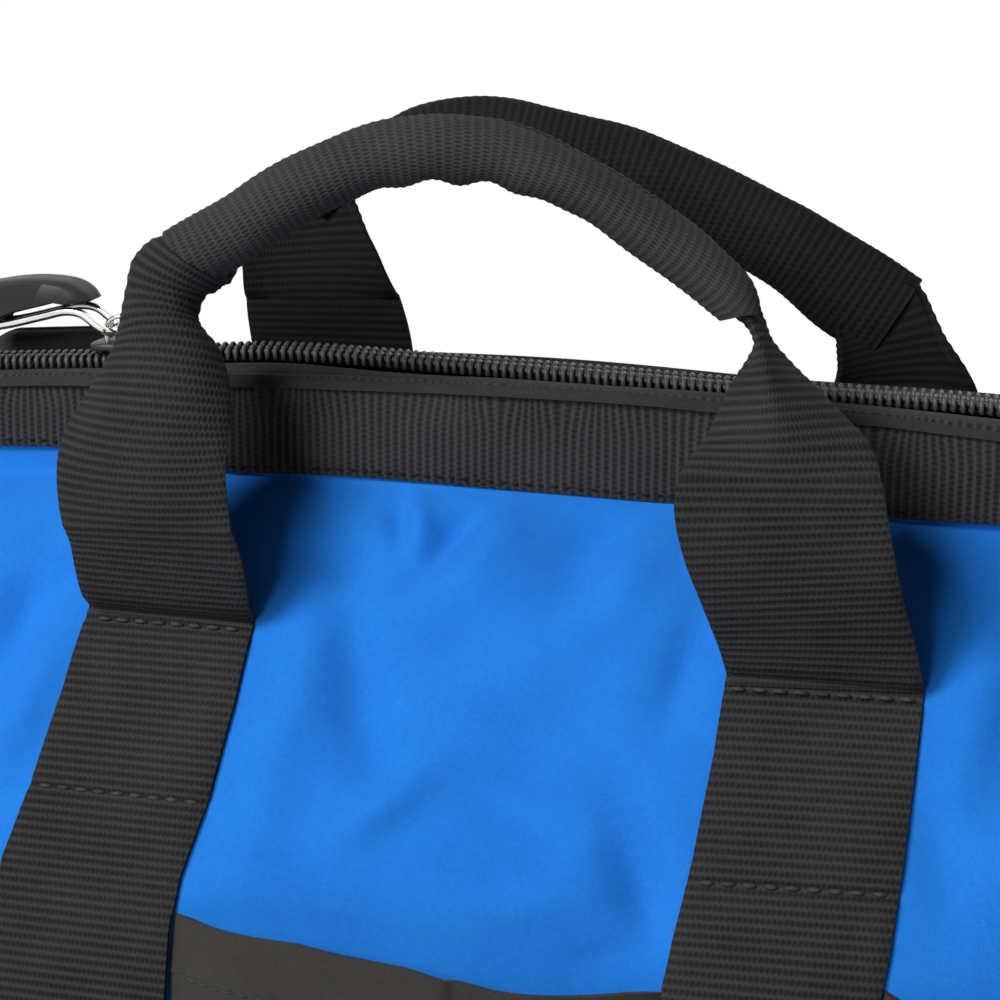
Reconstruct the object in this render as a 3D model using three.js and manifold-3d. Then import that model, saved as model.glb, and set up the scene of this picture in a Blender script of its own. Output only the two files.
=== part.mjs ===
import * as THREE from 'three';
import Module from 'manifold-3d';
import { mergeVertices } from 'three/addons/utils/BufferGeometryUtils.js';

const wasm = await Module();
wasm.setup();

// A zippered tool bag. Sizes are in millimetres: X runs along the bag, the front faces -Y,
// and Z points up from the base. On both long sides a wall leans in from the base to a fold,
// and a flap above the fold carries half of the zip, so that the mouth opens to its full width.

// Seat left between pieces that touch, and between pieces that hinge on the fold.
const seat = 0.3;
const foldGap = 0.6;

// Body of the bag.
const bagLength = 330;
const baseDepth = 190;
const baseThickness = 3;
const boardThickness = 3;
const boardMargin = 2;
const wallThickness = 3;
const bellyDepth = 194;
const bellyHeight = 70;
const foldDepth = 148;
const foldHeight = 125;

// Flaps that close the mouth.
const flapThickness = 2;
const shoulderReach = 70;
const neckDepth = 29;
const bandBottom = 205;
const bandTop = 230;
const archRadius = 1900;
const bandLift = 1.5;
const hemDrop = 1;
const stayHeight = 16;
const stayThickness = 2;
const gussetPleat = 40;
const pleatThickness = 2;

// Webbing of the band, the straps and the handles.
const webbingThickness = 2;
const strapWidth = 40;
const strapSpacing = 146;
const strapSplay = 0.1;
const stitchHeight = 177;
const stitchGap = 2.3;
const legFoot = 6;
const legFootLift = 0.4;
const rollStart = 0.35;
const rollEnd = 0.95;

// Pockets sewn on the walls.
const pocketThickness = 2;
const pocketBottom = 12;
const pocketSideTop = 121;
const pocketTop = 127;
const pocketFoot = 7;
const pocketLip = 17;
const pocketEndMargin = 5;
const endPocketWidth = 100;
const endPocketTop = 95;
const endPocketBulge = 14;

// Zip, from the middle of its coil outwards.
const coilGap = 1;
const coilWidth = 3.1;
const coilHeight = 3.6;
const coilEndMargin = 13;
const tapeThickness = 0.8;
const zipEndLength = 12;
const zipEndWidth = 18;
const zipEndThickness = 2.5;

// Slider and its pull. The slider rests near the left end of the zip.
const sliderInset = 60;
const sliderRest = sliderInset - bagLength / 2;
const sliderLength = 16;
const sliderWidth = 12.4;
const plateThickness = 1.8;
const plateClearance = 0.6;
const sliderWeb = 0.4;
const bridgeLength = 10;
const bridgeHeight = 5;
const bridgeWidth = 3.2;
const bridgeWall = 1.2;
const wireRadius = 0.9;
const wireClearance = 0.5;
const wireGap = 2;
const pullWidth = 9.2;
const pullLength = 35;
const tabLength = 36;
const tabWidth = 12;
const tabHeight = 9;
const tabCorner = 2;
const tabNose = 1;
const tabWrap = 3.6;

// Grips: a core rod inside a sewn tube of webbing, on two straps that are rolled at their ends.
const gripRadius = 7.4;
const gripBore = 5;
const rolledThickness = 10;
const rolledLength = 12;
const handles = {
  front: { side: -1, bow: 65, bowHeight: 213, neck: 45, neckHeight: 260, span: 120, shift: -7, rise: 26, skew: -4 },
  back: { side: 1, bow: 37, bowHeight: 214, neck: 30, neckHeight: 250, span: 126, shift: 5, rise: 28, skew: -30 },
};

// Steps that the curved pieces are divided into.
const wallRows = 8;
const flapRows = 10;
const pleatRows = 6;
const strapRows = 6;
const pocketRows = 6;
const topColumns = 12;
const coilColumns = 24;
const legSteps = 10;
const gripSteps = 16;
const gripSegments = 10;
const tabSegments = 4;

// Each wall is a curve of half depth against height. The flap leaves the fold in line with the wall.
const wallStart = baseThickness + seat;
const lowerWall = new THREE.QuadraticBezierCurve(
  new THREE.Vector2(baseDepth / 2, wallStart),
  new THREE.Vector2(bellyDepth / 2, bellyHeight),
  new THREE.Vector2(foldDepth / 2, foldHeight),
);
const foldPoint = lowerWall.getPoint(1);
const upperWall = new THREE.QuadraticBezierCurve(
  foldPoint,
  foldPoint.clone().addScaledVector(lowerWall.getTangent(1), shoulderReach),
  new THREE.Vector2(neckDepth / 2, bandBottom),
);
const lowerEnd = foldHeight - foldGap / 2;
const upperStart = foldHeight + foldGap / 2;
const hemTop = bandTop - hemDrop;
const coilMiddle = hemTop + coilHeight / 2;
const archCentre = coilMiddle - archRadius;

const black = { color: 0x26272a, roughness: 0.85, metalness: 0 };
const materials = {
  blue: { color: 0x1f63cc, roughness: 0.8, metalness: 0 },
  webbing: black,
  pocket: { color: 0x3c3b37, roughness: 0.9, metalness: 0 },
  coil: { color: 0x17181a, roughness: 0.5, metalness: 0 },
  nickel: { color: 0xc9c7c2, roughness: 0.25, metalness: 1 },
  steel: { color: 0x8d9094, roughness: 0.4, metalness: 1 },
  board: { color: 0x3a3a3a, roughness: 0.7, metalness: 0 },
  rubber: { color: 0x202124, roughness: 0.6, metalness: 0 },
};

const bag = new THREE.Group();

function addPiece(name, geometry, material, parent = bag) {
  const mesh = new THREE.Mesh(geometry, new THREE.MeshStandardMaterial(materials[material]));
  mesh.name = name;
  parent.add(mesh);
  return mesh;
}

function signedVolume(positions, triangles) {
  const corner = (index) => new THREE.Vector3().fromArray(positions, triangles[index] * 3);
  let volume = 0;
  for (let i = 0; i < triangles.length; i += 3) {
    volume += corner(i).dot(corner(i + 1).cross(corner(i + 2))) / 6;
  }
  return volume;
}

// A closed solid from sections: each section is a row of [outer, inner] pairs of points.
function sheet(sections) {
  const rows = sections[0].length;
  const last = rows - 1;
  const end = sections.length - 1;
  const positions = sections.flat(2).flatMap((point) => point.toArray());
  const triangles = [];
  const at = (section, row, face) => (section * rows + row) * 2 + face;
  const quad = (a, b, c, d) => triangles.push(a, b, c, a, c, d);
  for (let s = 0; s < end; s++) {
    for (let r = 0; r < last; r++) {
      quad(at(s, r, 0), at(s + 1, r, 0), at(s + 1, r + 1, 0), at(s, r + 1, 0));
      quad(at(s, r, 1), at(s, r + 1, 1), at(s + 1, r + 1, 1), at(s + 1, r, 1));
    }
    quad(at(s, 0, 0), at(s, 0, 1), at(s + 1, 0, 1), at(s + 1, 0, 0));
    quad(at(s, last, 0), at(s + 1, last, 0), at(s + 1, last, 1), at(s, last, 1));
  }
  for (let r = 0; r < last; r++) {
    quad(at(0, r, 0), at(0, r + 1, 0), at(0, r + 1, 1), at(0, r, 1));
    quad(at(end, r, 0), at(end, r, 1), at(end, r + 1, 1), at(end, r + 1, 0));
  }
  if (signedVolume(positions, triangles) < 0) {
    triangles.reverse();
  }
  const geometry = new THREE.BufferGeometry();
  geometry.setAttribute('position', new THREE.Float32BufferAttribute(positions, 3));
  geometry.setIndex(triangles);
  return geometry;
}

function toManifold(geometry) {
  const bare = geometry.clone();
  bare.deleteAttribute('normal');
  bare.deleteAttribute('uv');
  const merged = mergeVertices(bare, 1e-4);
  return new wasm.Manifold(new wasm.Mesh({
    numProp: 3,
    vertProperties: Float32Array.from(merged.attributes.position.array),
    triVerts: Uint32Array.from(merged.index.array),
  }));
}

function fromManifold(body) {
  const mesh = body.getMesh();
  const geometry = new THREE.BufferGeometry();
  geometry.setAttribute('position', new THREE.BufferAttribute(mesh.vertProperties, 3));
  geometry.setIndex(new THREE.BufferAttribute(mesh.triVerts, 1));
  return geometry;
}

function cut(geometry, tool) {
  return fromManifold(toManifold(geometry).subtract(toManifold(tool)));
}

function join(first, second) {
  return fromManifold(toManifold(first).add(toManifold(second)));
}

function spread(from, to, count) {
  return Array.from({ length: count + 1 }, (_, i) => from + (to - from) * i / count);
}

// The curve's parameter where it reaches a height. Height rises all along each wall.
function parameterAt(curve, height) {
  let low = 0;
  let high = 1;
  for (let step = 0; step < 40; step++) {
    const middle = (low + high) / 2;
    if (curve.getPoint(middle).y < height) {
      low = middle;
    } else {
      high = middle;
    }
  }
  return (low + high) / 2;
}

// A point of the wall's section, moved out along the wall's normal.
function wallPoint(curve, parameter, lift) {
  const point = curve.getPoint(parameter);
  const along = curve.getTangent(parameter);
  return new THREE.Vector2(point.x + along.y * lift, point.y - along.x * lift);
}

// Half depth of the wall's inner face, measured level, at a height.
function insideDepth(curve, height, inset) {
  const parameter = parameterAt(curve, height);
  return curve.getPoint(parameter).x - inset / curve.getTangent(parameter).y;
}

// The top line is an arch, and the flaps under it sink towards the bag's ends in proportion.
function archDrop(x) {
  return archRadius - Math.sqrt(archRadius ** 2 - x ** 2);
}

function place(side, x, point) {
  const share = THREE.MathUtils.clamp((point.y - foldHeight) / (bandBottom - foldHeight), 0, 1);
  return new THREE.Vector3(x, side * point.x, point.y - archDrop(x) * share);
}

// Cloth that lies on a wall between two heights, from one edge to the other.
function wallCloth({ side, curve, from, to, rows, left, right, columns, lift, thickness }) {
  const parameters = spread(parameterAt(curve, from), parameterAt(curve, to), rows);
  return sheet(spread(0, 1, columns).map((share) => parameters.map((parameter) => {
    const height = curve.getPoint(parameter).y;
    const x = THREE.MathUtils.lerp(left(height), right(height), share);
    return [lift + thickness, lift].map((away) => place(side, x, wallPoint(curve, parameter, away)));
  })));
}

// A strip along the top of the bag: a level section of [half depth, height] corner pairs.
function topStrip(side, halfLength, columns, pairs) {
  return sheet(spread(-halfLength, halfLength, columns).map((x) => pairs.map((pair) => (
    pair.map(([depth, height]) => place(side, x, new THREE.Vector2(depth, height)))
  ))));
}

function strapMiddle(height) {
  return strapSpacing / 2 + (stitchHeight - height) * strapSplay;
}

function addBase() {
  const base = new THREE.BoxGeometry(bagLength, baseDepth, baseThickness);
  addPiece('base_panel', base, 'pocket').position.z = baseThickness / 2;
  const inset = 2 * (wallThickness + boardMargin);
  const board = new THREE.BoxGeometry(bagLength - inset, baseDepth - inset, boardThickness);
  addPiece('base_board', board, 'board').position.z = wallStart + boardThickness / 2;
}

function addLowerWall(name, side) {
  addPiece(`${name}_panel`, wallCloth({
    side,
    curve: lowerWall,
    from: wallStart,
    to: lowerEnd,
    rows: wallRows,
    left: () => -bagLength / 2,
    right: () => bagLength / 2,
    columns: 1,
    lift: -wallThickness,
    thickness: wallThickness,
  }), 'blue');
}

// The end of the bag below the fold, between the two walls.
function addGusset(name, end) {
  const outer = end * bagLength / 2;
  const inner = outer - end * wallThickness;
  const sections = spread(wallStart, lowerEnd, wallRows).map((height) => {
    const half = insideDepth(lowerWall, height, wallThickness + 2 * seat);
    return [-half, half].map((y) => [outer, inner].map((x) => new THREE.Vector3(x, y, height)));
  });
  addPiece(`${name}_gusset`, sheet(sections), 'blue');
}

// Above the fold the end is pleated: two leaves run from the flaps in to a valley between them.
function addPleat(name, side, end) {
  const sections = spread(upperStart, bandBottom - flapThickness, pleatRows).map((height) => {
    const share = (height - foldHeight) / (bandBottom - foldHeight);
    const outer = end * bagLength / 2;
    const valley = outer - end * gussetPleat * share;
    const edge = insideDepth(upperWall, height, flapThickness + 2 * seat);
    return [[outer, edge], [valley, seat / 2]].map(([x, depth]) => [x, x - end * pleatThickness].map(
      (inward) => place(side, inward, new THREE.Vector2(depth, height)),
    ));
  });
  addPiece(name, sheet(sections), 'blue');
}

// The space between a wall and the pocket's front, whose upper edge hangs away from the wall.
function pocketBlock({ side, left, right, from, to, sideInset, frontInset, backInset }) {
  const front = (height) => THREE.MathUtils.lerp(
    baseDepth / 2 + pocketFoot,
    foldDepth / 2 + pocketLip,
    (height - pocketBottom) / (pocketTop - pocketBottom),
  ) - frontInset;
  return sheet([0, 1].map((share) => spread(from, to, pocketRows).map((height) => {
    const x = THREE.MathUtils.lerp(left(height) + sideInset, right(height) - sideInset, share);
    const back = insideDepth(lowerWall, height, backInset);
    return [front(height), back].map((depth) => new THREE.Vector3(x, side * depth, height));
  })));
}

function addPocket(name, side, left, right) {
  const edges = { side, left, right };
  const outside = pocketBlock({
    ...edges, from: pocketBottom, to: pocketTop, sideInset: 0, frontInset: 0, backInset: -seat,
  });
  const inside = pocketBlock({
    ...edges,
    from: pocketBottom + pocketThickness,
    to: pocketTop + pocketThickness,
    sideInset: pocketThickness,
    frontInset: pocketThickness,
    backInset: pocketThickness,
  });
  const aboveSides = pocketBlock({
    ...edges,
    from: pocketSideTop,
    to: pocketTop + pocketThickness,
    sideInset: -pocketThickness,
    frontInset: pocketThickness,
    backInset: pocketThickness,
  });
  addPiece(name, cut(cut(outside, inside), aboveSides), 'pocket');
}

function addWallPockets(name, side) {
  const strapInner = (height) => strapMiddle(height) - strapWidth / 2 - 2 * seat;
  const strapOuter = (height) => strapMiddle(height) + strapWidth / 2 + 2 * seat;
  const end = () => bagLength / 2 - pocketEndMargin;
  addPocket(`${name}_center_pocket`, side, (height) => -strapInner(height), strapInner);
  addPocket(`${name}_left_pocket`, side, () => -end(), (height) => -strapOuter(height));
  addPocket(`${name}_right_pocket`, side, strapOuter, end);
}

function addEndPocket(name, end) {
  const height = endPocketTop - pocketBottom;
  const outside = new THREE.BoxGeometry(endPocketBulge, endPocketWidth, height);
  const inside = new THREE.BoxGeometry(endPocketBulge, endPocketWidth - 2 * pocketThickness, height);
  inside.translate(-end * pocketThickness, 0, pocketThickness);
  const pocket = addPiece(`${name}_end_pocket`, cut(outside, inside), 'pocket');
  pocket.position.x = end * (bagLength / 2 + seat + endPocketBulge / 2);
  pocket.position.z = pocketBottom + height / 2;
}

function strapOnWall(side, mirror, curve, from, to, rows) {
  return wallCloth({
    side,
    curve,
    from,
    to,
    rows,
    left: (height) => mirror * strapMiddle(height) - strapWidth / 2,
    right: (height) => mirror * strapMiddle(height) + strapWidth / 2,
    columns: 2,
    lift: seat,
    thickness: webbingThickness,
  });
}

function addStraps(name, side) {
  for (const [hand, mirror] of [['left', -1], ['right', 1]]) {
    const lower = strapOnWall(side, mirror, lowerWall, wallStart, lowerEnd, wallRows);
    addPiece(`${name}_${hand}_strap_lower`, lower, 'webbing');
    const top = stitchHeight - stitchGap * upperWall.getTangent(parameterAt(upperWall, stitchHeight)).y;
    const upper = strapOnWall(side, mirror, upperWall, upperStart, top, strapRows);
    addPiece(`${name}_${hand}_strap_upper`, upper, 'webbing');
  }
}

// The flap's cloth follows the shoulder and then stands up behind the band as a hem.
function flapPanel(side) {
  const parameters = spread(parameterAt(upperWall, upperStart), 1, flapRows);
  const halfNeck = neckDepth / 2;
  return sheet(spread(-bagLength / 2, bagLength / 2, topColumns).map((x) => {
    const pairs = parameters.map((parameter) => [0, -flapThickness].map(
      (lift) => place(side, x, wallPoint(upperWall, parameter, lift)),
    ));
    const hem = [halfNeck, halfNeck - flapThickness].map(
      (depth) => place(side, x, new THREE.Vector2(depth, hemTop)),
    );
    return [...pairs, hem];
  }));
}

function coilSection() {
  const middle = (coilGap + coilWidth) / 2;
  const inner = coilGap / 2;
  const outer = inner + coilWidth;
  const low = coilMiddle - coilHeight / 2;
  const high = coilMiddle + coilHeight / 2;
  const quarter = coilHeight / 4;
  return [
    [[inner, low + quarter], [inner, high - quarter]],
    [[middle, low], [middle, high]],
    [[outer, low + quarter], [outer, high - quarter]],
  ];
}

function addMouthHalf(name, side) {
  const halfNeck = neckDepth / 2;
  const halfLength = bagLength / 2;
  addPiece(`${name}_flap_panel`, flapPanel(side), 'blue');
  const bandFace = halfNeck + seat;
  addPiece(`${name}_band`, topStrip(side, halfLength, topColumns, [
    [[bandFace + webbingThickness, bandBottom + bandLift], [bandFace, bandBottom + bandLift]],
    [[bandFace + webbingThickness, bandTop], [bandFace, bandTop]],
  ]), 'webbing');
  const stayFace = halfNeck - flapThickness - seat;
  const stayTop = hemTop - hemDrop;
  addPiece(`${name}_mouth_stay`, topStrip(side, halfLength - zipEndLength, topColumns, [
    [[stayFace, stayTop - stayHeight], [stayFace - stayThickness, stayTop - stayHeight]],
    [[stayFace, stayTop], [stayFace - stayThickness, stayTop]],
  ]), 'steel');
  const tapeInner = coilGap / 2 + coilWidth + seat;
  const tapeLow = hemTop + seat;
  addPiece(`${name}_zip_tape`, topStrip(side, halfLength, coilColumns, [
    [[tapeInner, tapeLow + tapeThickness], [tapeInner, tapeLow]],
    [[halfNeck, tapeLow + tapeThickness], [halfNeck, tapeLow]],
  ]), 'webbing');
  addPiece(`${name}_zip_coil`, topStrip(side, halfLength - coilEndMargin, coilColumns, coilSection()), 'coil');
}

// Patches of webbing that close the two ends of the zip.
function addZipEnd(name, end) {
  const low = hemTop + tapeThickness + 2 * seat;
  const outer = bagLength / 2;
  const sections = [outer - zipEndLength, outer].map((x) => [-1, 1].map((side) => (
    [low + zipEndThickness, low].map((height) => (
      place(side, end * x, new THREE.Vector2(zipEndWidth / 2, height))
    ))
  )));
  addPiece(`${name}_zip_end`, sheet(sections), 'webbing');
}

// Slider: two plates joined by a thin web that runs between the two rows of the coil.
const plateLow = coilMiddle - coilHeight / 2 - plateClearance;
const plateHigh = coilMiddle + coilHeight / 2 + plateClearance;
const pivotHeight = plateHigh + plateThickness + bridgeHeight - bridgeWall - wireRadius - wireClearance;

function sliderBody() {
  const half = sliderWidth / 2;
  const web = sliderWeb / 2;
  const outline = new THREE.Shape([
    new THREE.Vector2(half, plateHigh + plateThickness),
    new THREE.Vector2(-half, plateHigh + plateThickness),
    new THREE.Vector2(-half, plateHigh),
    new THREE.Vector2(-web, plateHigh),
    new THREE.Vector2(-web, plateLow),
    new THREE.Vector2(-half, plateLow),
    new THREE.Vector2(-half, plateLow - plateThickness),
    new THREE.Vector2(half, plateLow - plateThickness),
    new THREE.Vector2(half, plateLow),
    new THREE.Vector2(web, plateLow),
    new THREE.Vector2(web, plateHigh),
    new THREE.Vector2(half, plateHigh),
  ]);
  const body = new THREE.ExtrudeGeometry(outline, { depth: sliderLength, bevelEnabled: false });
  body.rotateX(Math.PI / 2);
  body.rotateZ(Math.PI / 2);
  body.translate(-sliderLength / 2, 0, 0);
  return body;
}

// The bridge is an arch on the slider, and the pull's wire turns in its opening.
function sliderBridge() {
  const half = bridgeLength / 2;
  const foot = plateHigh + plateThickness / 2;
  const top = plateHigh + plateThickness + bridgeHeight;
  const arch = new THREE.Shape();
  arch.moveTo(-half, foot);
  arch.lineTo(half, foot);
  arch.lineTo(half, top - bridgeWall);
  arch.lineTo(half - bridgeWall, top);
  arch.lineTo(bridgeWall - half, top);
  arch.lineTo(-half, top - bridgeWall);
  arch.closePath();
  const opening = new THREE.Path();
  opening.moveTo(bridgeWall - half, plateHigh + plateThickness);
  opening.lineTo(bridgeWall - half, top - bridgeWall);
  opening.lineTo(half - bridgeWall, top - bridgeWall);
  opening.lineTo(half - bridgeWall, plateHigh + plateThickness);
  opening.closePath();
  arch.holes.push(opening);
  const bridge = new THREE.ExtrudeGeometry(arch, { depth: bridgeWidth, bevelEnabled: false });
  bridge.rotateX(Math.PI / 2);
  bridge.translate(0, bridgeWidth / 2, 0);
  return bridge;
}

const pivotX = bridgeWall - bridgeLength / 2 + wireRadius + wireClearance;

// The wire is a loop with its far end inside the tab.
function pullLoop(radius) {
  const half = pullWidth / 2;
  const far = pivotX - pullLength;
  const corners = [
    [far, wireGap],
    [far, half],
    [pivotX, half],
    [pivotX, -half],
    [far, -half],
    [far, -wireGap],
  ];
  const points = corners.map(([x, y]) => new THREE.Vector3(x, y, pivotHeight));
  return wireAlong(points, radius);
}

// A wire of square section with its corners mitred, along level straight runs.
function wireAlong(points, radius) {
  const last = points.length - 1;
  const direction = (i) => points[i + 1].clone().sub(points[i]).normalize();
  const up = new THREE.Vector3(0, 0, radius);
  return sheet(points.map((point, i) => {
    const before = direction(Math.max(i - 1, 0));
    const after = direction(Math.min(i, last - 1));
    const across = before.clone().add(after).normalize().cross(new THREE.Vector3(0, 0, 1));
    const sideways = across.multiplyScalar(radius / Math.cos(before.angleTo(after) / 2));
    return [-1, 1].map((way) => [1, -1].map((rise) => (
      point.clone().addScaledVector(sideways, way).addScaledVector(up, rise)
    )));
  }));
}

// The moulded tab lies above the wire and wraps the wire's far end.
function pullTab() {
  const right = pivotX - bridgeWall;
  const left = right - tabLength;
  const low = pivotHeight + wireRadius + 2 * wireClearance + bridgeWall;
  const high = low + tabHeight;
  const wrap = pivotX - pullLength + tabWrap;
  const foot = pivotHeight - 2 * wireRadius;
  const outline = new THREE.Shape();
  outline.moveTo(right, low);
  outline.quadraticCurveTo(right - tabNose, high - tabNose, right - tabHeight, high);
  outline.lineTo(left + tabCorner, high);
  outline.lineTo(left, high - tabCorner);
  outline.lineTo(left, foot);
  outline.lineTo(wrap, foot);
  outline.lineTo(wrap, low);
  outline.closePath();
  const tab = new THREE.ExtrudeGeometry(outline, { depth: tabWidth, bevelEnabled: false, curveSegments: tabSegments });
  tab.rotateX(Math.PI / 2);
  tab.translate(0, tabWidth / 2, 0);
  return cut(tab, pullLoop(wireRadius + wireClearance));
}

function addSlider() {
  const turn = new THREE.Group();
  turn.position.z = archCentre;
  turn.rotation.y = Math.asin(sliderRest / archRadius);
  bag.add(turn);
  const carriage = new THREE.Group();
  carriage.position.z = -archCentre;
  turn.add(carriage);
  addPiece('zip_slider', join(sliderBody(), sliderBridge()), 'nickel', carriage);
  addPiece('pull_wire', pullLoop(wireRadius), 'nickel', carriage);
  addPiece('pull_tab', pullTab(), 'rubber', carriage);
}

// The grip's middle line is a low arch between the two necks where the straps are rolled.
function gripLine({ side, neck, neckHeight, span, shift, rise, skew }) {
  return new THREE.QuadraticBezierCurve3(
    new THREE.Vector3(shift - span / 2, side * neck, neckHeight),
    new THREE.Vector3(shift + skew, side * neck, neckHeight + 2 * rise),
    new THREE.Vector3(shift + span / 2, side * neck, neckHeight),
  );
}

// The free part of a strap: it lies on the wall for the length of its foot, so that it can fold down over
// the stitched part, and then bows and rolls up into the grip's end.
function handleLeg(handle, mirror) {
  const line = gripLine(handle);
  const neck = line.getPoint(mirror < 0 ? 0 : 1);
  const along = line.getTangent(mirror < 0 ? 0 : 1).multiplyScalar(-mirror);
  const parameter = parameterAt(upperWall, stitchHeight);
  const x = mirror * strapMiddle(stitchHeight);
  const onWall = wallPoint(upperWall, parameter, seat + webbingThickness / 2);
  const start = place(handle.side, x, onWall);
  const footParameter = parameterAt(upperWall, stitchHeight + legFoot);
  const footLift = seat + legFootLift + webbingThickness / 2;
  const foot = place(handle.side, x, wallPoint(upperWall, footParameter, footLift));
  const level = place(handle.side, x + strapWidth / 2, onWall).sub(place(handle.side, x - strapWidth / 2, onWall));
  start.z += seat;
  const path = new THREE.CatmullRomCurve3([
    start,
    foot,
    new THREE.Vector3((x + neck.x) / 2, handle.side * handle.bow, handle.bowHeight),
    neck.clone().addScaledVector(along, -rolledLength),
    neck.clone().addScaledVector(along, -seat),
  ]);
  const footShare = legFoot / path.getLength();
  const shares = [0, ...spread(0, 1, legSteps).map((step) => THREE.MathUtils.lerp(footShare, 1, step))];
  return sheet(shares.map((share) => {
    const point = path.getPointAt(share);
    const roll = THREE.MathUtils.smoothstep(share, rollStart, rollEnd);
    const tangent = path.getTangentAt(share);
    tangent.x *= roll;
    tangent.normalize();
    const across = level.clone();
    across.addScaledVector(tangent, -across.dot(tangent)).normalize();
    const normal = tangent.clone().cross(across);
    const half = THREE.MathUtils.lerp(strapWidth / 2, gripRadius, roll);
    const thick = THREE.MathUtils.lerp(webbingThickness, rolledThickness, roll ** 2) / 2;
    return [-1, 0, 1].map((way) => [thick, -thick].map((away) => (
      point.clone().addScaledVector(across, way * half).addScaledVector(normal, away)
    )));
  }));
}

function roundBar(line, radius) {
  const ring = new THREE.Shape();
  ring.absarc(0, 0, radius, 0, 2 * Math.PI);
  return new THREE.ExtrudeGeometry(ring, { extrudePath: line, steps: gripSteps, curveSegments: gripSegments, bevelEnabled: false });
}

function roundTube(line, radius, bore) {
  const ring = new THREE.Shape();
  ring.absarc(0, 0, radius, 0, 2 * Math.PI);
  const hole = new THREE.Path();
  hole.absarc(0, 0, bore, 0, 2 * Math.PI);
  ring.holes.push(hole);
  return new THREE.ExtrudeGeometry(ring, { extrudePath: line, steps: gripSteps, curveSegments: gripSegments, bevelEnabled: false });
}

function addHandle(name, handle) {
  addPiece(`${name}_handle_left_leg`, handleLeg(handle, -1), 'webbing');
  addPiece(`${name}_handle_right_leg`, handleLeg(handle, 1), 'webbing');
  const line = gripLine(handle);
  addPiece(`${name}_handle_grip`, roundTube(line, gripRadius, gripBore), 'webbing');
  addPiece(`${name}_handle_core`, roundBar(line, gripBore - 2 * seat), 'rubber');
}

addBase();
for (const [name, handle] of Object.entries(handles)) {
  addLowerWall(name, handle.side);
  addWallPockets(name, handle.side);
  addStraps(name, handle.side);
  addMouthHalf(name, handle.side);
  addHandle(name, handle);
}
for (const [name, end] of [['left', -1], ['right', 1]]) {
  addGusset(name, end);
  addEndPocket(name, end);
  addZipEnd(name, end);
  addPleat(`${name}_front_pleat`, -1, end);
  addPleat(`${name}_back_pleat`, 1, end);
}
addSlider();

export default bag;
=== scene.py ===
import math

import bmesh
import bpy
import numpy as np
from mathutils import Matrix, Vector


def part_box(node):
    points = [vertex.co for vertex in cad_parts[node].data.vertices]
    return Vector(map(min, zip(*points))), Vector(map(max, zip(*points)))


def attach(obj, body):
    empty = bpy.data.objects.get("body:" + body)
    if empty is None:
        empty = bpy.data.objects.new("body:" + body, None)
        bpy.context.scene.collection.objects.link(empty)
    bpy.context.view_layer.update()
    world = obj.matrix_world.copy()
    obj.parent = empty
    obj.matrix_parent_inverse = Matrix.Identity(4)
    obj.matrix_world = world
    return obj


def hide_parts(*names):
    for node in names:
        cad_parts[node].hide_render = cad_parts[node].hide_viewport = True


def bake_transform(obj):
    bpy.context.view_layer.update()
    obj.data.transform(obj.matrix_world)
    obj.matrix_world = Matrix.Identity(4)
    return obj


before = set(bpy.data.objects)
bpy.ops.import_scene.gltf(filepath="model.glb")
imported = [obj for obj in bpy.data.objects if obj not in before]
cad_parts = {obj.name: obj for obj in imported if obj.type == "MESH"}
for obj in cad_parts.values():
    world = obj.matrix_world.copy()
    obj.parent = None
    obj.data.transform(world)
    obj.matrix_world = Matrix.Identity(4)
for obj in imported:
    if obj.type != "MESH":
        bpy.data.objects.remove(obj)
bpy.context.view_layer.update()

# A zippered tool bag, worked out in millimetres: X runs along it, the front faces -Y, and Z points up.
# A side is -1 at the front and 1 at the back. A mirror or an end is -1 on the left and 1 on the right.

MM = 0.001
SIDES = (("front", -1), ("back", 1))
HANDS = (("left", -1), ("right", 1))


def box_mm(node):
    low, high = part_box(node)
    return np.array(low) / MM, np.array(high) / MM


# Sizes that the frame gives.
HALF_LENGTH, HALF_BASE, BASE_TOP = box_mm("base_panel")[1]
WALL_FOOT = box_mm("front_panel")[0][2]
SEAT = WALL_FOOT - BASE_TOP
FOLD_HEIGHT = box_mm("front_panel")[1][2] + SEAT
BAND_TOP = box_mm("front_band")[1][2]
POCKET_BOTTOM = box_mm("front_center_pocket")[0][2]
POCKET_TOP = box_mm("front_center_pocket")[1][2]
SIDE_POCKET_TOP = POCKET_TOP - 4
END_POCKET_HALF, END_POCKET_TOP = box_mm("left_end_pocket")[1][1:]
COIL_TOP = box_mm("front_zip_coil")[1][2]
COIL_LOW = COIL_TOP - 3.6

# Sizes of the wall's section, which the frame's walls follow.
CORNER = 14
BELLY_DEPTH = 97
BELLY_HEIGHT = 70
FOLD_DEPTH = 74
SHOULDER_REACH = 70
HALF_NECK = 14.5
BAND_BOTTOM = 205
BAND_EDGE = BAND_BOTTOM + 1.5
HEM_TOP = 229
ARCH_RADIUS = 1900
ARCH_CENTRE = (COIL_TOP + COIL_LOW) / 2 - ARCH_RADIUS

# Cloth and webbing.
CLOTH = 1.2
WEBBING = 1.8
STRAP_HALF = 20
STITCH_HEIGHT = 177
SECOND_STITCH_HEIGHT = 142.5
RIB_PITCH = 1.97
RIB_HEIGHT = 0.22
BAND_RIB_PITCH = 1.9
RIB_ROWS = 6
RIB_STEP = RIB_PITCH / RIB_ROWS

# Camera: an azimuth and elevation round a target point, with the focal length in pixels of the picture.
PICTURE_PIXELS = 1000
FOCAL_PIXELS = 2237
CAMERA_AZIMUTH = 15
CAMERA_ELEVATION = 15.3
CAMERA_TARGET = (-0.6, -40, 209.8)
CAMERA_DISTANCE = 485
LAMP_TARGET = (0, 0, 170)


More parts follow.
